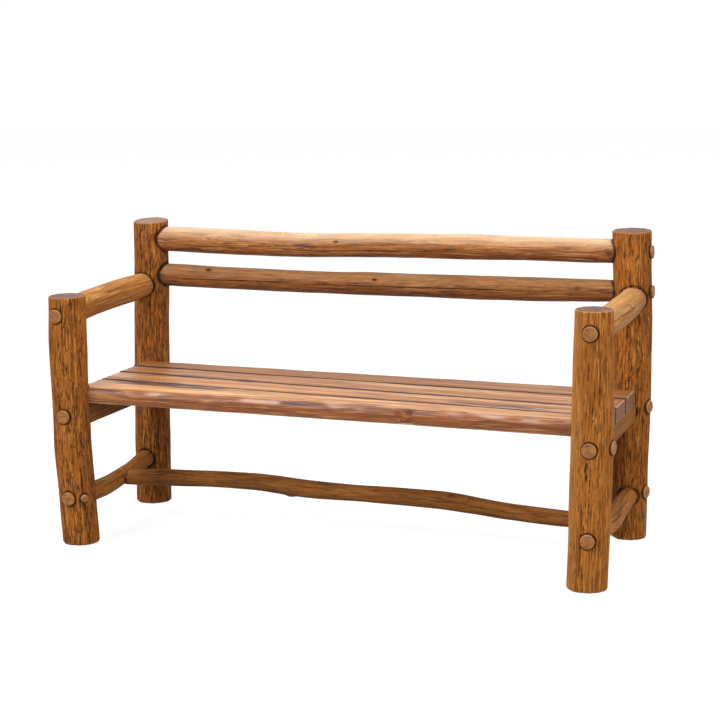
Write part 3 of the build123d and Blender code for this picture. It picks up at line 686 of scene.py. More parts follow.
def side_rail(name, side, skin, log, depth, front=None, back=None):
    """A rail from a front post to a back post: its two tenons, and the holes that take them.

    The tenons lie on the log's own ends unless other places are given for them.
    """
    front, back = front or log.spine.at(-HALF_DEEP)[0], back or log.spine.at(HALF_DEEP)[0]
    front_post, back_post = "front_post_" + side, "back_post_" + side
    near = Shoulder(posts[front_post], -1, TENON, tenon_tip(front_post, front, -PROUD), TIP_ROUND, front)
    far = Shoulder(posts[back_post], 1, TENON, tenon_tip(back_post, back, depth), BLIND_ROUND, back)
    piece = log.piece(name + "_" + side + "_timber", [skin, tenon_end_grain], near, far)
    bore(front_post, (front.x, -HALF_DEEP - CLEAR, front.z), (front.x, -HALF_DEEP + CLEAR, front.z),
         TENON + BORE_PLAY)
    bore(back_post, (back.x, HALF_DEEP - CLEAR, back.z), (back.x, far.tip + BORE_BEYOND, back.z),
         TENON + BORE_PLAY)
    paint_joint_shade(front_post, log.spine, -HALF_DEEP)
    paint_joint_shade(back_post, log.spine, HALF_DEEP)
    return piece


# Place along the bench and height at the front and at the back, sections, knots, checks, and painted
# highlight.
ARMS = {
    "left": ((-HALF_ALONG - 14.0, 669.0), (-HALF_ALONG - 8.0, 693.0), [
        (0, 0, 0), (0, 6, 1), (0, 6, 1), (0, 4, 1), (0, 0, -3)],
        [(38, -176, 8, 1.6, 0.55), (72, -95, 14, 0.6, -0.5), (190, 60, 8, 1.0, 0.6)],
        [(35, 40, -100, 90, 1.2, 2.2), (200, 196, -60, 130, 1.6, 3.0)], 0.2),
    "right": ((HALF_ALONG + 5.0, 682.0), (HALF_ALONG + 10.0, 700.0), [
        (0, 0, -1), (0, -3, 0), (2, -4, 1), (3, -2, 0), (0, 0, -3)],
        [(30, 20, 8, 1.0, 0.6), (110, 180, 16, 0.5, -0.6)],
        [(160, 150, -150, 60, 1.2, 2.2), (20, 16, -120, 90, 1.6, 3.0)], 0.4),
}
for seed, (side, (front, back, sections, knots, checks, painted_highlight)) in enumerate(ARMS.items(), start=21):
    log = RoundLog(side_spine(front, back, ARM_RADIUS, sections), seed, knots, checks, painted_highlight)
    dress(side_rail("arm_rail", side, arm_wood, log, ARM_BLIND_TENON), "arm_rail_" + side)

# ---- The side stretchers ----
# The thinnest and most crooked logs, near the floor, where damp has turned the oil darker. They are
# jointed as the arms are.
# Pine drawknifed round and oiled, darkened by damp: brown, with soft dark bands and little shine.
STRETCHER_LAYERS = [
    (24.0, 150.0, 0.44, 0.66, 0.5, "#6b431f", 0.0),
    (4.0, 70.0, 0.52, 0.36, 0.65, "#6b4221", -0.25),
    (3.0, 48.0, 0.52, 0.66, 0.65, "#b57a3e", 0.2),
    (1.6, 24.0, 0.48, 0.36, 0.5, "#553518", -0.12),
    (3.6, 34.0, 0.59, 0.67, 0.7, "#392413", -0.35)]
stretcher_wood = oiled_wood("drawknifed_pine_oiled_damp", "#b5702f", STRETCHER_LAYERS, "#1b110a", "#c9955e",
                            0.66, 0.12)
STRETCHER_RADIUS, LOW_BLIND_TENON = 27.0, 70.0
STRETCHERS = {
    "left": ((-HALF_ALONG + 2.0, 141.0), (-HALF_ALONG - 9.0, 146.0), [
        (0, 0, 1), (0, -13, 1), (1, -17, 1), (2, -14, 0), (1, -9, -2), (0, 1, 0), (0, 0, 1)],
        [(20, -60, 7, 0.9, 0.5)], [(30, 34, -150, 40, 1.2, 2.2)]),
    "right": ((HALF_ALONG + 4.0, 141.0), (HALF_ALONG + 6.0, 131.0), [
        (0, 0, 0), (0, -13, 0), (0, -18, -1), (0, -21, -1), (0, -12, -1), (0, -3, -1), (0, 0, 0)],
        [(15, 80, 7, 0.9, 0.5)], [(40, 36, -120, 70, 1.2, 2.2)]),
}
stretcher_spines, stretcher_pieces = {}, {}
for seed, (side, (front, back, sections, knots, checks)) in enumerate(STRETCHERS.items(), start=31):
    stretcher_spines[side] = side_spine(front, back, STRETCHER_RADIUS, sections)
    log = RoundLog(stretcher_spines[side], seed, knots, checks)
    stretcher_pieces[side] = side_rail("side_stretcher", side, stretcher_wood, log, LOW_BLIND_TENON)

# ---- The bearers ----
# Squared rails 60 mm wide under the ends of the seat, sawn and then eased with a knife along their
# lower edges. Round tenons are turned on their ends.
BEARER_TENON_HEIGHT = 381.0
# The seat is this much lower at the right posts than at the left ones, and this high in the middle.
SEAT_FALL, SEAT_UNDERSIDE = 13.0, 408.0


def seat_underside(x):
    return SEAT_UNDERSIDE - x * SEAT_FALL / (2 * HALF_ALONG)


class SquaredRail(RoundLog):
    """A sawn rail: its outline is a rectangle with eased corners, set round the spine."""

    half_width, half_depth, squareness = 30.0, 30.0, 18.0

    def skin_point(self, angle, coordinate, swell):
        power = self.squareness
        reach = ((abs(cos(angle)) / self.half_width) ** power
                 + (abs(sin(angle)) / self.half_depth) ** power) ** (-1.0 / power)
        return self.spine.at(coordinate)[0] + self.spine.across(angle) * (reach + swell * 0.35)


# Sawn pine, oiled and shaded under the seat: dark brown with straight streaks and no shine.
bearer_wood = oiled_wood("sawn_pine_oiled_dark", "#9a622c", [
    (30.0, 200.0, 0.44, 0.68, 0.45, "#5f3c1e", 0.0),
    (4.0, 120.0, 0.52, 0.36, 0.6, "#603c1d", -0.2),
    (2.6, 80.0, 0.52, 0.66, 0.6, "#9f6c38", 0.15),
    (3.6, 50.0, 0.59, 0.67, 0.65, "#38241a", -0.3)], "#1b110a", "#a97b4c", 0.7, 0.08)
# The middle of the bearer, the line of its tenons, and the height of its underside.
BEARERS = {"left": (-746.0, -756.0, 348.0), "right": (750.0, 760.0, 353.0)}
bearer_pieces = {}
for seed, (side, (x, tenon_x, underside)) in enumerate(BEARERS.items(), start=41):
    middle = (seat_underside(x) + underside) / 2
    rail = SquaredRail(side_spine((x, middle), (x, middle), SquaredRail.half_width), seed)
    rail.half_depth = (seat_underside(x) - underside) / 2
    tenons = [Vector((tenon_x, y, BEARER_TENON_HEIGHT)) for y in (-HALF_DEEP, HALF_DEEP)]
    bearer_pieces[side] = side_rail("seat_bearer", side, bearer_wood, rail, LOW_BLIND_TENON, *tenons)

# ---- The four seat planks ----
# Sawn planks 45 mm thick and a little tapered, planed on top and worn smooth. The front one keeps the
# tree's own round edge, and is notched behind each front post. Screws from below hold them.
PLANK_LAYERS = [
    (18.0, 420.0, 0.47, 0.6, 0.65, "#8f532c", 0.0),
    (9.0, 330.0, 0.5, 0.36, 0.85, "#844a26", -0.1),
    (8.0, 300.0, 0.49, 0.61, 0.85, "#efc08c", 0.1),
    (2.4, 110.0, 0.5, 0.36, 0.55, "#824c2b", -0.1),
    (1.6, 60.0, 0.52, 0.66, 0.5, "#e3b082", 0.06),
    (6.0, 120.0, 0.59, 0.66, 0.7, "#55332a", -0.15)]


def plank_wood(name, base, wear):
    """Pine planed, oiled and worn smooth by sitting: the more it is worn, the paler its raised grain.

    It gives an orange-tan with soft grain lines and purple-black painted shade in the gaps.
    """
    layers = [(width, length, begin, full, strength * (wear if relief > 0.0 else 1.0), colour, relief)
              for width, length, begin, full, strength, colour, relief in PLANK_LAYERS]
    return oiled_wood(name, base, layers, "#3a2728", "#f2cfae", 0.44, 0.1 + 0.25 * wear)


# The round front edge is the tree's own skin, scraped and oiled: red-brown, clouded blue-black where the
# bark held damp, with a soft grey-pink highlight painted along the top of the curve.
wane_wood = oiled_wood("pine_wane_scraped_and_oiled", "#8f4d20", [
    (10.0, 160.0, 0.46, 0.62, 0.6, "#6d3c1f", 0.0),
    (3.0, 90.0, 0.5, 0.36, 0.7, "#5c3219", -0.2),
    (2.4, 70.0, 0.5, 0.64, 0.7, "#c2854c", 0.15),
    (3.0, 40.0, 0.58, 0.65, 0.7, "#3f2619", -0.2)], "#45363c", "#e6bfab", 0.42, 0.4)
# Plank ends, sawn and left with oil soaked in: a flat, warm dark brown.
plank_end_grain = end_grain("sawn_pine_plank_end_oil_soaked", "#7a4820", "#925c2a", "#45290f", 3.0)
SEAT_FRONT, SEAT_BACK, SEAT_LEFT_END, SEAT_RIGHT_END = -269.0, 195.0, -738.0, 779.0
HALF_THICK, WANE_ROUND = 22.5, 20.0
# How the corners round a plank are shared out: the top has the most, because it is seen the most.
ARC_STEPS = 10
STRAIGHT_STEPS = {"half back": 7, "top": 58, "front": 13, "bottom": 43}


class Plank(RoundLog):
    """A plank along the seat: a rounded rectangle between a front and a back edge that wander a little.

    A nick in the front edge is (place, length before it, length after it, depth). A painted shade is a
    valley of painted shade beside a gap, as (start, end, inner, outer, strength): inner and outer count in
    from the front edge, or from the back edge where inner is below nothing.
    """

    def __init__(self, spine, seed, edges, rounds, gap_sides, nicks, painted_shades):
        super().__init__(spine, seed)
        self.edges, self.rounds, self.gap_sides = edges, rounds, gap_sides
        self.nicks, self.painted_shades = nicks, painted_shades

    def borders(self, coordinate):
        share = (coordinate - self.spine.start.x) / (self.spine.end.x - self.spine.start.x)
        (front_left, back_left), (front_right, back_right) = self.edges
        wave = [1.8 * noise((coordinate / 170.0, self.seed * 3.7 + number, 0.5)) for number in (0, 9)]
        front = front_left + (front_right - front_left) * share + wave[0]
        back = back_left + (back_right - back_left) * share + wave[1]
        return front, back

    def skin_point(self, angle, coordinate, swell):
        front, back = self.borders(coordinate)
        top_front, bottom_front, rear = self.rounds
        wane = 0.0
        if top_front == WANE_ROUND:
            wane = 3.2 * noise((coordinate / 120.0, self.seed, 3.0)) - 1.0
            top_front += 7.0 * noise((coordinate / 85.0, self.seed, 8.0))
            for place, before, after, bite in self.nicks:
                past = coordinate - place
                wane -= bite * max(0.0, 1.0 - (past / after if past > 0.0 else -past / before))
        half, middle = (back - front) / 2, (back + front) / 2
        y, z = self.outline(angle / (2 * pi) * AROUND % AROUND, half + swell, HALF_THICK + swell,
                            (rear, top_front, bottom_front, rear))
        lean = max(0.0, -y / half - 0.72) / 0.28
        lift = 0.6 * noise((coordinate / 100.0, (y + middle) / 22.0, self.seed)) if z > 0 else 0.0
        height = self.spine.at(coordinate)[0].z + z + lift - 0.4
        return Vector((coordinate, middle + y - (lean * wane if y < 0 else 0.0), height))

    def outline(self, steps, half, thick, rounds):
        """The point so many steps round the section: up from the middle of the back, over and under."""
        sides = ((1, 1, STRAIGHT_STEPS["half back"]), (-1, 1, STRAIGHT_STEPS["top"]),
                 (-1, -1, STRAIGHT_STEPS["front"]), (1, -1, STRAIGHT_STEPS["bottom"]))
        last_y, last_z = half, 0.0
        for number, ((across, up, straight), curve) in enumerate(zip(sides, rounds)):
            hub_y, hub_z = across * (half - curve), up * (thick - curve)
            quarters = number + clamp((steps - straight) / ARC_STEPS)
            y, z = hub_y + curve * cos(quarters * pi / 2), hub_z + curve * sin(quarters * pi / 2)
            if steps <= straight:
                return last_y + (y - last_y) * steps / straight, last_z + (z - last_z) * steps / straight
            if steps <= straight + ARC_STEPS:
                return y, z
            last_y, last_z = y, z
            steps -= straight + ARC_STEPS
        return half, last_z * (1.0 - steps / STRAIGHT_STEPS["half back"])

    def swell(self, angle, coordinate):
        along = coordinate / 70.0 + self.seed * 5.0
        return 0.35 * noise((cos(angle) * 9.0, sin(angle) * 9.0, along)) - 0.3

    def painted_light_and_shade(self, angle, coordinate):
        return 0.0

    def grain(self, angle, coordinate, point):
        front, back = self.borders(coordinate)
        bend = 3.0 * noise((coordinate / 220.0, self.seed, 1.0))
        wood = Vector((point.y - front + bend + self.seed * 200.0, point.z - 360.0, coordinate))
        return wood, self.shade_and_stain(coordinate, point, front, back)

    def shade_and_stain(self, coordinate, point, front, back):
        """Painted shade in the gaps, broadest at the left, and the valleys of painted shade; pale wear and
        painted highlight count below nothing.
        """
        low = self.spine.at(coordinate)[0].z + HALF_THICK - point.z
        left = clamp((-coordinate - 230.0) / 300.0)
        spread = 7.0 + 5.0 * left + 3.0 * noise((coordinate / 60.0, self.seed, 4.0))
        near = min(gap for gap, gap_shaded in zip((point.y - front, back - point.y), self.gap_sides) if gap_shaded)
        # Painted shade across the gap's edge and down the plank's side in the gap.
        shade_and_stain = max(1.0 - max(near, 0.0) / spread, min(low - 0.8, 1.0) if near < 12.0 else 0.0, 0.0)
        for start, end, inner, outer, strength in self.painted_shades:
            along = min((coordinate - start) / 60.0, (end - coordinate) / 60.0, 1.0)
            aside = point.y - front if inner > 0 else back - point.y
            across = min((aside - abs(inner)) / 6.0, (outer - aside) / 12.0, 1.0)
            if along > 0.0 and across > 0.0:
                cloudy = 0.85 + noise((coordinate / 70.0, aside / 9.0, 2.0))
                shade_and_stain = max(shade_and_stain, strength * along * across * cloudy)
        if self.nicks and point.y < front + 50.0:
            return self.wane_shade_and_stain(coordinate, low, point.y - front, shade_and_stain)
        return shade_and_stain

    def wane_shade_and_stain(self, coordinate, low, aside, shade_and_stain):
        """The wane: a rubbed strip on top, then clouds of dirt with a painted highlight between them, darker
        towards the bottom, and the nick.
        """
        if low <= 0.6:
            return shade_and_stain if shade_and_stain >= 0.1 else -0.3 * (1.0 - min(abs(aside - 30.0) / 20.0, 1.0))
        cloud = max(0.3 + 0.75 * noise((coordinate / 70.0, low / 16.0, self.seed)), 0.0)
        # Clouds of dirt, and darker towards the bottom of the edge.
        shade_and_stain = max(shade_and_stain, 0.15 * min((low - 24.0) / 14.0, 1.0), cloud * fade((low - 9.0) / 7.0))
        # Painted highlight between the clouds.
        shade_and_stain -= 0.6 * fade((low - 7.0) / 6.0) * max(1.0 - cloud / 0.6, 0.0)
        for place, before, _, _ in self.nicks:
            past = coordinate - place
            if -before < past <= 0.0:
                shade_and_stain = max(shade_and_stain, (0.65 - abs(low - 8.0) / 16.0) * (1.0 + past / before))
        return shade_and_stain


# How far further in the left end lies, the front and back edges at the left and at the right, the rounds of
# the front's top, the front's bottom and the back, wood, nicks and valleys of painted shade beside the gaps.
# People sit at the front, so the planks further back are worn less and look browner.
PLANKS = {
    "seat_plank_front": (
        0.0, (SEAT_FRONT, -127.0), (SEAT_FRONT, -186.0), (WANE_ROUND, 11.0, 6.0),
        plank_wood("planed_pine_worn_pale", "#d09052", 1.1), [(262.0, 45.0, 8.0, 15.0)],
        [(-720.0, -290.0, -1.0, 50.0, 0.75)]),
    "seat_plank_second": (
        3.0, (-119.0, -6.0), (-178.0, -80.0), (6.0, 6.0, 6.0),
        plank_wood("planed_pine_worn_smooth", "#c07d43", 1.0), [],
        [(300.0, 650.0, 7.0, 46.0, 0.7), (-740.0, -330.0, 1.0, 24.0, 0.6),
         (-560.0, -250.0, -1.0, 22.0, 0.6)]),
    "seat_plank_third": (
        8.0, (2.0, 100.0), (-72.0, 59.0), (6.0, 6.0, 6.0),
        plank_wood("planed_pine_worn_little", "#a86a31", 0.65), [],
        [(-700.0, -250.0, 1.0, 22.0, 0.6), (-640.0, -200.0, -1.0, 16.0, 0.5)]),
    "seat_plank_back": (
        14.0, (108.0, SEAT_BACK), (67.0, SEAT_BACK), (6.0, 6.0, 6.0),
        plank_wood("planed_pine_hardly_worn", "#935a24", 0.3), [],
        [(-700.0, -350.0, 1.0, 16.0, 0.5)]),
}
LEFT_RIM, RIGHT_RIM = 9.0, 2.5
planks, plank_pieces = {}, {}
for seed, (name, row) in enumerate(PLANKS.items(), start=51):
    step, at_left, at_right, rounds, top_wood, nicks, painted_shades = row
    left_end = SEAT_LEFT_END - step
    start, end = ((x, (front + back) / 2, seat_underside(x) + HALF_THICK)
                  for x, (front, back) in ((left_end, at_left), (SEAT_RIGHT_END, at_right)))
    gap_sides = (name != "seat_plank_front", name != "seat_plank_back")
    planks[name] = Plank(Spine(0, start, end, HALF_THICK), seed, (at_left, at_right), rounds, gap_sides,
                         nicks, painted_shades)
    plank_pieces[name] = planks[name].piece(
        name + "_board", [top_wood, plank_end_grain, wane_wood],
        SawnEnd(left_end, -1, LEFT_RIM), SawnEnd(SEAT_RIGHT_END, 1, RIGHT_RIM))
# The wane's own wood covers the front edge, up to a ragged line just below the planed top.
front_plank, front_board = planks["seat_plank_front"], plank_pieces["seat_plank_front"]
for face in front_board.data.polygons:
    middle = face.center / MM - SHIFT
    low = front_plank.spine.at(middle.x)[0].z + HALF_THICK - middle.z
    ragged = 1.4 + 0.6 * noise((middle.x / 90.0, 3.0, 1.0))
    on_edge = middle.y < front_plank.borders(middle.x)[0] + 30.0
    if face.material_index == 0 and ragged < low < 40.0 and on_edge:
        face.material_index = 2
NOTCH_GAP = 0.8
for side in ("left", "right"):
    centre, radius = posts["front_post_" + side].at(430.0)
    notch = ((centre.x, centre.y, 300.0), (centre.x, centre.y, 560.0))
    cut(front_board, bars([notch], radius + NOTCH_GAP, 128))

# ---- The centre stretcher ----
# A crooked log between the side stretchers. Its blunt ends are let 7 mm into them, and a tenon no
# thicker than a thumb holds each one.
CENTRE_TENON, HOUSING = 12.0, 7.0


class HousedEnd(SawnEnd):
    """A blunt end let into another log, with a thin tenon on it."""

    def tenon(self, log, reach, along, angle, swell):
        point = log.spine.at(self.coordinate)[0] + log.spine.across(angle) * reach
        point[log.spine.axis] = self.coordinate + self.outward * along
        return point

    def rows(self, log):
        stub = ((0.0, 20.0), (6.0, 20.0), (11.0, 20.0), (CENTRE_TENON, 19.0), (CENTRE_TENON, 10.0),
                (CENTRE_TENON, 0.0))
        return ([(partial(self.tenon, log, reach, along), "end", 0.0, 0.0) for reach, along in stub]
                + super().rows(log)[4:])

    # Painted shade next to the housing, fading out a little beyond the 7 mm it is let in.
    def seam(self, limit, coordinate):
        return 3.0 + 2.0 * max(abs(coordinate - limit) - HOUSING, 0.0)


# The same pine in a darker copy, a duller brown: painted shade under the seat.
shaded_stretcher_wood = oiled_wood("drawknifed_pine_oiled_shaded", "#a5682f", STRETCHER_LAYERS, "#1b110a",
                                   "#b98b5a", 0.66, 0.12)
# How far back of the posts' middle the log lies, and its height at each end.
CENTRE_Y, CENTRE_HEIGHTS, CENTRE_RADIUS = 9.0, (133.0, 106.0), 25.0
SIDES = (("left", -1), ("right", 1))
centre_ends = []
for side, outward in SIDES:
    centre, radius = stretcher_spines[side].at(CENTRE_Y)
    centre_ends.append(centre.x - outward * (radius - HOUSING))
start, end = ((x, CENTRE_Y, height) for x, height in zip(centre_ends, CENTRE_HEIGHTS))
spine = Spine(0, start, end, CENTRE_RADIUS, [
    (0, 0, -1), (3, 9, 0), (5, 17, 0), (-2, 22, 1), (-7, 17, 1.5), (-4, 17, 0.5), (4, 18.5, 1),
    (7, 16, 1), (3, 5, -1), (-2, 1, -1), (0, 0, -3)])
log = RoundLog(spine, 61, [
    (262, -192, 8, 6.0, 0.4), (125, 300, 15, 0.8, 0.45), (110, 330, 13, 0.6, 0.4), (20, 420, 8, 1.2, 0.6)],
    [(190, 186, -560, -250, 1.2, 2.2), (176, 170, 120, 520, 1.2, 2.2)])
CENTRE_RIM = 6.0
piece = log.piece("centre_stretcher_log", [shaded_stretcher_wood, tenon_end_grain],
                  HousedEnd(centre_ends[0], -1, CENTRE_RIM), HousedEnd(centre_ends[1], 1, CENTRE_RIM))
dress(piece, "centre_stretcher")
for (side, outward), x in zip(SIDES, centre_ends):
    shoulder, radius = spine.at(x)
    along = Vector((outward, 0.0, 0.0))
    for depth, reach in ((0.3, radius + 0.8), (20.5, CENTRE_TENON + 0.3)):
        cut(stretcher_pieces[side], bars([(shoulder - along * 60.0, shoulder + along * depth)], reach))

# ---- The pegs ----
# Turned hardwood pegs with domed heads, driven into the posts across the tenons so that these can't
# draw out. The pin in the left front post is thinner.
# Ash turned round and oiled: brown, close-grained, a little shinier than the posts.
peg_wood = oiled_wood("turned_ash_oiled_brown", "#a06c3d", [
    (2.4, 20.0, 0.52, 0.36, 0.6, "#75492a", -0.15),
    (1.6, 12.0, 0.52, 0.66, 0.6, "#c08c57", 0.1)], "#1f140c", "#c9955f", 0.5, 0.35)
# The head's dome: shares of its radius, and how far they stand off the post.
HEAD_DOME = ((0.0, 7.0), (0.3, 6.98), (0.55, 6.8), (0.75, 6.3), (0.88, 5.4), (0.96, 4.0), (1.0, 2.2))
SHANK_BEYOND, COUNTERBORE, PEG_AROUND, SHANK_PLAY = 30.0, 13.0, 72, 0.3


def peg(name, post_name, side, height, angle, head, shank, held):
    """A peg that points at the middle of its post, the hole for it, and the hole in the tenon it crosses."""
    outward = Vector((side * sin(radians(angle)), -cos(radians(angle)), 0.0))
    across = Vector((-outward.y, outward.x, 0.0))
    centre, radius = posts[post_name].at(height)
    skin = centre + outward * radius
    tip = radius + SHANK_BEYOND
    rows = [(head * share, rise) for share, rise in HEAD_DOME] + [
        (head, -2.0), (head, -COUNTERBORE), (shank, -COUNTERBORE), (shank, -30.0), (shank, -tip + 2.0),
        (shank - 2.0, -tip), (0.0, -tip)]
    corners = []
    for row, (reach, rise) in enumerate(rows):
        for column in range(PEG_AROUND):
            turn = column / PEG_AROUND * 2 * pi
            flat = Vector((reach * cos(turn), reach * sin(turn), rise))
            dent = 0.5 * noise((flat.x / 9.0, flat.y / 9.0, height)) if row < 6 else 0.0
            point = skin + across * flat.x + Vector((0.0, 0.0, flat.y)) + outward * (rise + dent - 0.3)
            # The head's side just below the post's skin is darkened with painted shade.
            corners.append(((point + SHIFT) * MM, (flat + Vector((height, angle, 0.0)) * 0.02) * MM,
                            0.9 if rise == -2.0 else 0.0, 0.6 if row in (4, 5) else 0.0))
    kinds = ["end" if row < 5 else "skin" for row in range(len(rows))]
    piece = rolled_grid(name + "_turned", [peg_wood, tenon_end_grain], PEG_AROUND, kinds, corners)
    seat = skin - outward * (COUNTERBORE + 0.2)
    hole = (skin - outward * (tip + 0.5), seat + outward)
    bore(post_name, seat, skin + outward * 40.0, head + BORE_PLAY)
    bore(post_name, *hole, shank + SHANK_PLAY)
    cut(held, bars([hole], shank + SHANK_PLAY))
    dress(piece, name)


# The back pegs sit a little above the tenons' middle. Angles are from the front, round the outer side.
PEG_RISE = 8.0
PEG_ANGLES = {"left": (112.0, 112.0), "right": (86.0, 75.0)}
for side, outward in SIDES:
    front_angle, back_angle = PEG_ANGLES[side]
    stretcher_height = stretcher_spines[side].at(HALF_DEEP)[0].z + PEG_RISE
    for kind, place, height, angle, held in (
            ("bearer_peg_front_", "front_post_", BEARER_TENON_HEIGHT, front_angle, bearer_pieces),
            ("bearer_peg_back_", "back_post_", BEARER_TENON_HEIGHT + PEG_RISE, back_angle, bearer_pieces),
            ("stretcher_peg_back_", "back_post_", stretcher_height, back_angle, stretcher_pieces)):
        peg(kind + side, place + side, outward, height, angle, PEG_HEAD, PEG_SHANK, held[side])
PIN_HEAD, PIN_SHANK, PIN_ANGLE = 11.5, 5.0, -50.0
peg("stretcher_pin_front_left", "front_post_left", -1, stretcher_spines["left"].at(-HALF_DEEP)[0].z,
    PIN_ANGLE, PIN_HEAD, PIN_SHANK, stretcher_pieces["left"])
for side in ("left", "right"):
    dress(stretcher_pieces[side], "side_stretcher_" + side)
for name, piece in post_pieces.items():
    dress(piece, name)

# ---- The seat screws ----
# Seven steel wood screws at each end of the seat, with a rolled thread and a cross recess. They go up
# through the bearer into the planks, and their heads are sunk 8 mm into its underside.
# Zinc plated steel: a cool grey metal with soft reflections, clouded in patches 3 mm wide.
screw_steel, tree = bare_material("steel_rolled_and_zinc_plated")
own = add(tree, "Attribute", attribute_name="wood").outputs["Vector"]
cloud = add(tree, "TexNoise", {"Vector": own, "Scale": 0.5 / (3.0 * MM), "Detail": 3.0})
share = add(tree, "MapRange", {"Value": cloud.outputs["Fac"], "From Min": 0.4, "From Max": 0.65})
tone = add(tree, "Mix", {
    "Factor": share.outputs["Result"], 6: hex_colour("#b4b6b8"), 7: hex_colour("#8f9396")},
    data_type="RGBA").outputs[2]
shader = add(tree, "BsdfPrincipled", {"Base Color": tone, "Metallic": 1.0, "Roughness": 0.38})
add(tree, "OutputMaterial", {"Surface": shader.outputs[0]})
SCREW_HEAD, SCREW_SHANK, HEAD_THICK, SUNK, GRIP, CLEARANCE = 6.0, 3.0, 4.0, 8.0, 30.0, 0.15
THREAD_START, THREAD_STEP, THREAD_PITCH, THREAD_DEPTH, POINT_LENGTH = 25.0, 0.6, 2.4, 0.7, 6.0
SCREW_AROUND, RECESS_HALF_WIDTH, RECESS_DEPTH = 36, 0.7, 1.4


def screw(name, head, tip):
    """A wood screw that stands on its head: recess, dome, plain neck, thread and point."""
    length = tip.z - head.z
    rows = [(reach, 1.2 * (reach / SCREW_HEAD) ** 3)
            for reach in (0.0, 0.7, 1.4, 2.1, 2.8, 3.1, 4.4, 5.4, 5.9)]
    rows += [(SCREW_HEAD, 1.5), (SCREW_HEAD, 3.5), (5.7, HEAD_THICK), (2.6, HEAD_THICK + 0.1), (2.3, 5.0),
             (2.3, THREAD_START - 1.0)]
    turns = int((length - THREAD_START) / THREAD_STEP)
    rows += [(None, THREAD_START + number * THREAD_STEP) for number in range(turns)] + [(0.0, length)]
    corners = []
    for reach, rise in rows:
        for column in range(SCREW_AROUND):
            share = column / SCREW_AROUND
            turn, out, up = share * 2 * pi, reach, rise
            if reach is None:
                crest = 1.0 - min(abs((rise / THREAD_PITCH - share) % 1.0 - 0.5) * 4.0, 1.0)
                taper = min((length - rise) / POINT_LENGTH, 1.0)
                out = (SCREW_SHANK - THREAD_DEPTH + THREAD_DEPTH * crest) * taper
            elif reach < 3.0 and min(abs(cos(turn)), abs(sin(turn))) * reach < RECESS_HALF_WIDTH:
                up += RECESS_DEPTH
            flat = Vector((out * cos(turn), out * sin(turn), up))
            corners.append(((head + flat + SHIFT) * MM, flat * MM, 0.0, 0.0))
    return rolled_grid(name, [screw_steel], SCREW_AROUND, ["skin"] * len(rows), corners)


for side, x in (("left", -727.0), ("right", 749.5)):
    underside = BEARERS[side][2]
    centre, radius = posts["front_post_" + side].at(BEARER_TENON_HEIGHT)
    bearer_front = centre.y + sqrt(radius ** 2 - (x - centre.x) ** 2)
    screws, sinkings, holes = bmesh.new(), [], []
    for name, (_, at_left, at_right, *_) in PLANKS.items():
        front, back = at_left if side == "left" else at_right
        front = max(front, bearer_front)
        own_holes = []
        for share in (0.5,) if name == "seat_plank_front" else (0.3, 0.7):
            head = Vector((x, front + share * (back - front), underside + SUNK))
            tip = Vector((x, head.y, seat_underside(x) + GRIP))
            one = screw(name + "_screw", head, tip)
            screws.from_mesh(one.data)
            bpy.data.meshes.remove(one.data)
            neck = head + Vector((0.0, 0.0, HEAD_THICK + CLEARANCE))
            sinkings.append((head - Vector((0.0, 0.0, 2.0 * SUNK)), neck))
            own_holes.append((neck - Vector((0.0, 0.0, 1.0)), tip + Vector((0.0, 0.0, CLEARANCE))))
        holes += own_holes
        cut(plank_pieces[name], bars(own_holes, SCREW_SHANK + CLEARANCE, 32))
    cut(bearer_pieces[side], bars(sinkings, SCREW_HEAD + CLEARANCE, 48))
    cut(bearer_pieces[side], bars(holes, SCREW_SHANK + CLEARANCE, 32))
    piece = set_down(screws, "seat_screws_" + side + "_steel", [screw_steel])
    dress(piece, "seat_screws_" + side)
    dress(bearer_pieces[side], "seat_bearer_" + side)
for name, piece in plank_pieces.items():
    dress(piece, name)

# ---- The camera, the lamps and the pale floor ----
# One big soft lamp at the front left, a weak one above and a middling one at the right, over a white floor.
# The camera stands 5 m off at the front right, half a metre above the back rest, and looks down slightly.
EYE = (Vector((1668.0, -4576.0, 1367.0)) + SHIFT) * MM
YAW, PITCH, ROLL = radians(19.72), radians(9.78), radians(-0.69)
ahead = Vector((-sin(YAW) * cos(PITCH), cos(YAW) * cos(PITCH), -sin(PITCH)))
level = Vector((cos(YAW), sin(YAW), 0.0))
upright = level.cross(ahead)
right = level * cos(ROLL) + upright * sin(ROLL)
up = upright * cos(ROLL) - level * sin(ROLL)
eye = bpy.data.objects.new("camera", bpy.data.cameras.new("camera"))
SENSOR, FOCAL_PIXELS, PICTURE_PIXELS = 36.0, 1731.8, 720.0
eye.data.sensor_width = SENSOR
eye.data.lens = SENSOR * FOCAL_PIXELS / PICTURE_PIXELS
eye.matrix_world = Matrix((
    (right.x, up.x, -ahead.x, EYE.x), (right.y, up.y, -ahead.y, EYE.y), (right.z, up.z, -ahead.z, EYE.z),
    (0.0, 0.0, 0.0, 1.0)))
bpy.context.scene.collection.objects.link(eye)
bpy.context.scene.camera = eye


def softbox(name, place, aim, size, power):
    """A soft rectangular lamp at a place in metres, turned to its aim."""
    lamp = bpy.data.lights.new(name, "AREA")
    lamp.shape, lamp.size, lamp.size_y, lamp.energy = "RECTANGLE", size[0], size[1], power
    holder = bpy.data.objects.new(name, lamp)
    holder.location = place
    holder.rotation_euler = (Vector(aim) - Vector(place)).to_track_quat("-Z", "Y").to_euler()
    bpy.context.scene.collection.objects.link(holder)


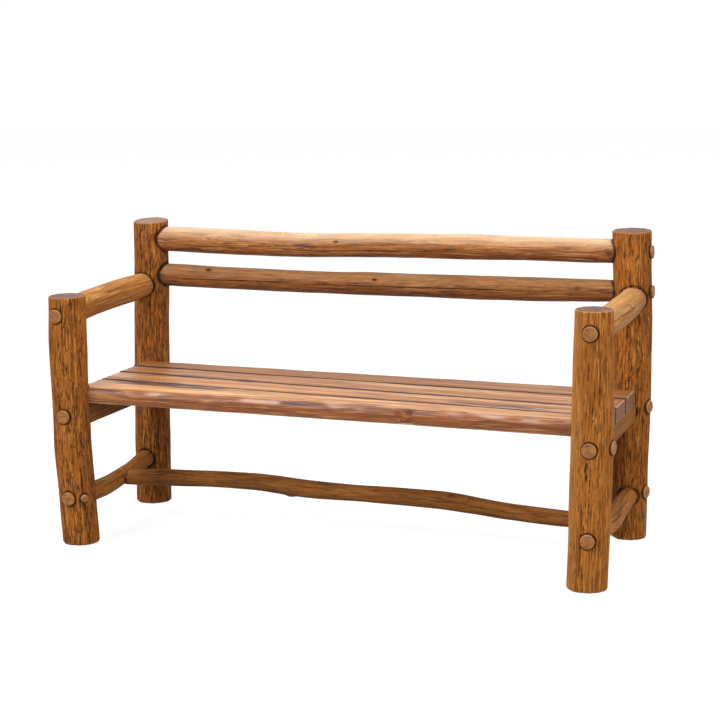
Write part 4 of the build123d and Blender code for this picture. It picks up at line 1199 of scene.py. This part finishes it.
softbox("key_softbox", (-4.2, -6.1, 5.8), (0.0, 0.0, 0.5), (3.6, 3.6), 500.0)
softbox("top_softbox", (0.1, 0.2, 4.2), (0.0, 0.0, 0.4), (3.4, 2.2), 90.0)
softbox("right_softbox", (6.2, -3.6, 2.6), (0.0, 0.0, 0.5), (2.6, 2.6), 190.0)

# Whatever isn't seen straight or in a reflection is lit by a weak warm sky. What is seen is plain white.
world = bpy.data.worlds.new("studio")
bpy.context.scene.world = world
world.use_nodes = True
sky = world.node_tree
sky.nodes.clear()
path = add(sky, "LightPath")
seen = add(sky, "Math", {0: path.outputs["Is Camera Ray"], 1: path.outputs["Is Glossy Ray"]},
           operation="MAXIMUM")
seen = add(sky, "Math", {0: seen.outputs[0], 1: path.outputs["Is Transmission Ray"]}, operation="MAXIMUM")
fill = add(sky, "Background", {"Color": hex_colour("#fbf8f4"), "Strength": 0.4})
white = add(sky, "Background", {"Color": (1.0, 1.0, 1.0, 1.0), "Strength": 1.0})
both = add(sky, "MixShader", {0: seen.outputs[0], 1: fill.outputs[0], 2: white.outputs[0]})
add(sky, "OutputWorld", {"Surface": both.outputs[0]})

# From the floor's middle to its sides, in metres: its far edge is lost in the white behind it.
FLOOR_HALF = 30.0
floor_shape = bmesh.new()
bmesh.ops.create_grid(floor_shape, x_segments=1, y_segments=1, size=FLOOR_HALF)
# Matt white paint, lifted with a glow where it is seen, so that it looks as white as paper and keeps only
# a faint shadow of the bench.
floor_paint, tree = bare_material("matt_white_floor_paint")
paint = add(tree, "BsdfDiffuse", {"Color": hex_colour("#949494")})
glow = add(tree, "Emission", {"Color": (1.0, 1.0, 1.0, 1.0), "Strength": 0.88})
lifted = add(tree, "AddShader", {0: paint.outputs[0], 1: glow.outputs[0]})
path = add(tree, "LightPath")
seen = add(tree, "Math", {0: path.outputs["Is Camera Ray"], 1: path.outputs["Is Glossy Ray"]},
           operation="MAXIMUM")
shown = add(tree, "MixShader", {0: seen.outputs[0], 1: paint.outputs[0], 2: lifted.outputs[0]})
add(tree, "OutputMaterial", {"Surface": shown.outputs[0]})
floor = set_down(floor_shape, "studio_floor", [floor_paint])
bpy.context.scene.view_settings.view_transform = "Standard"
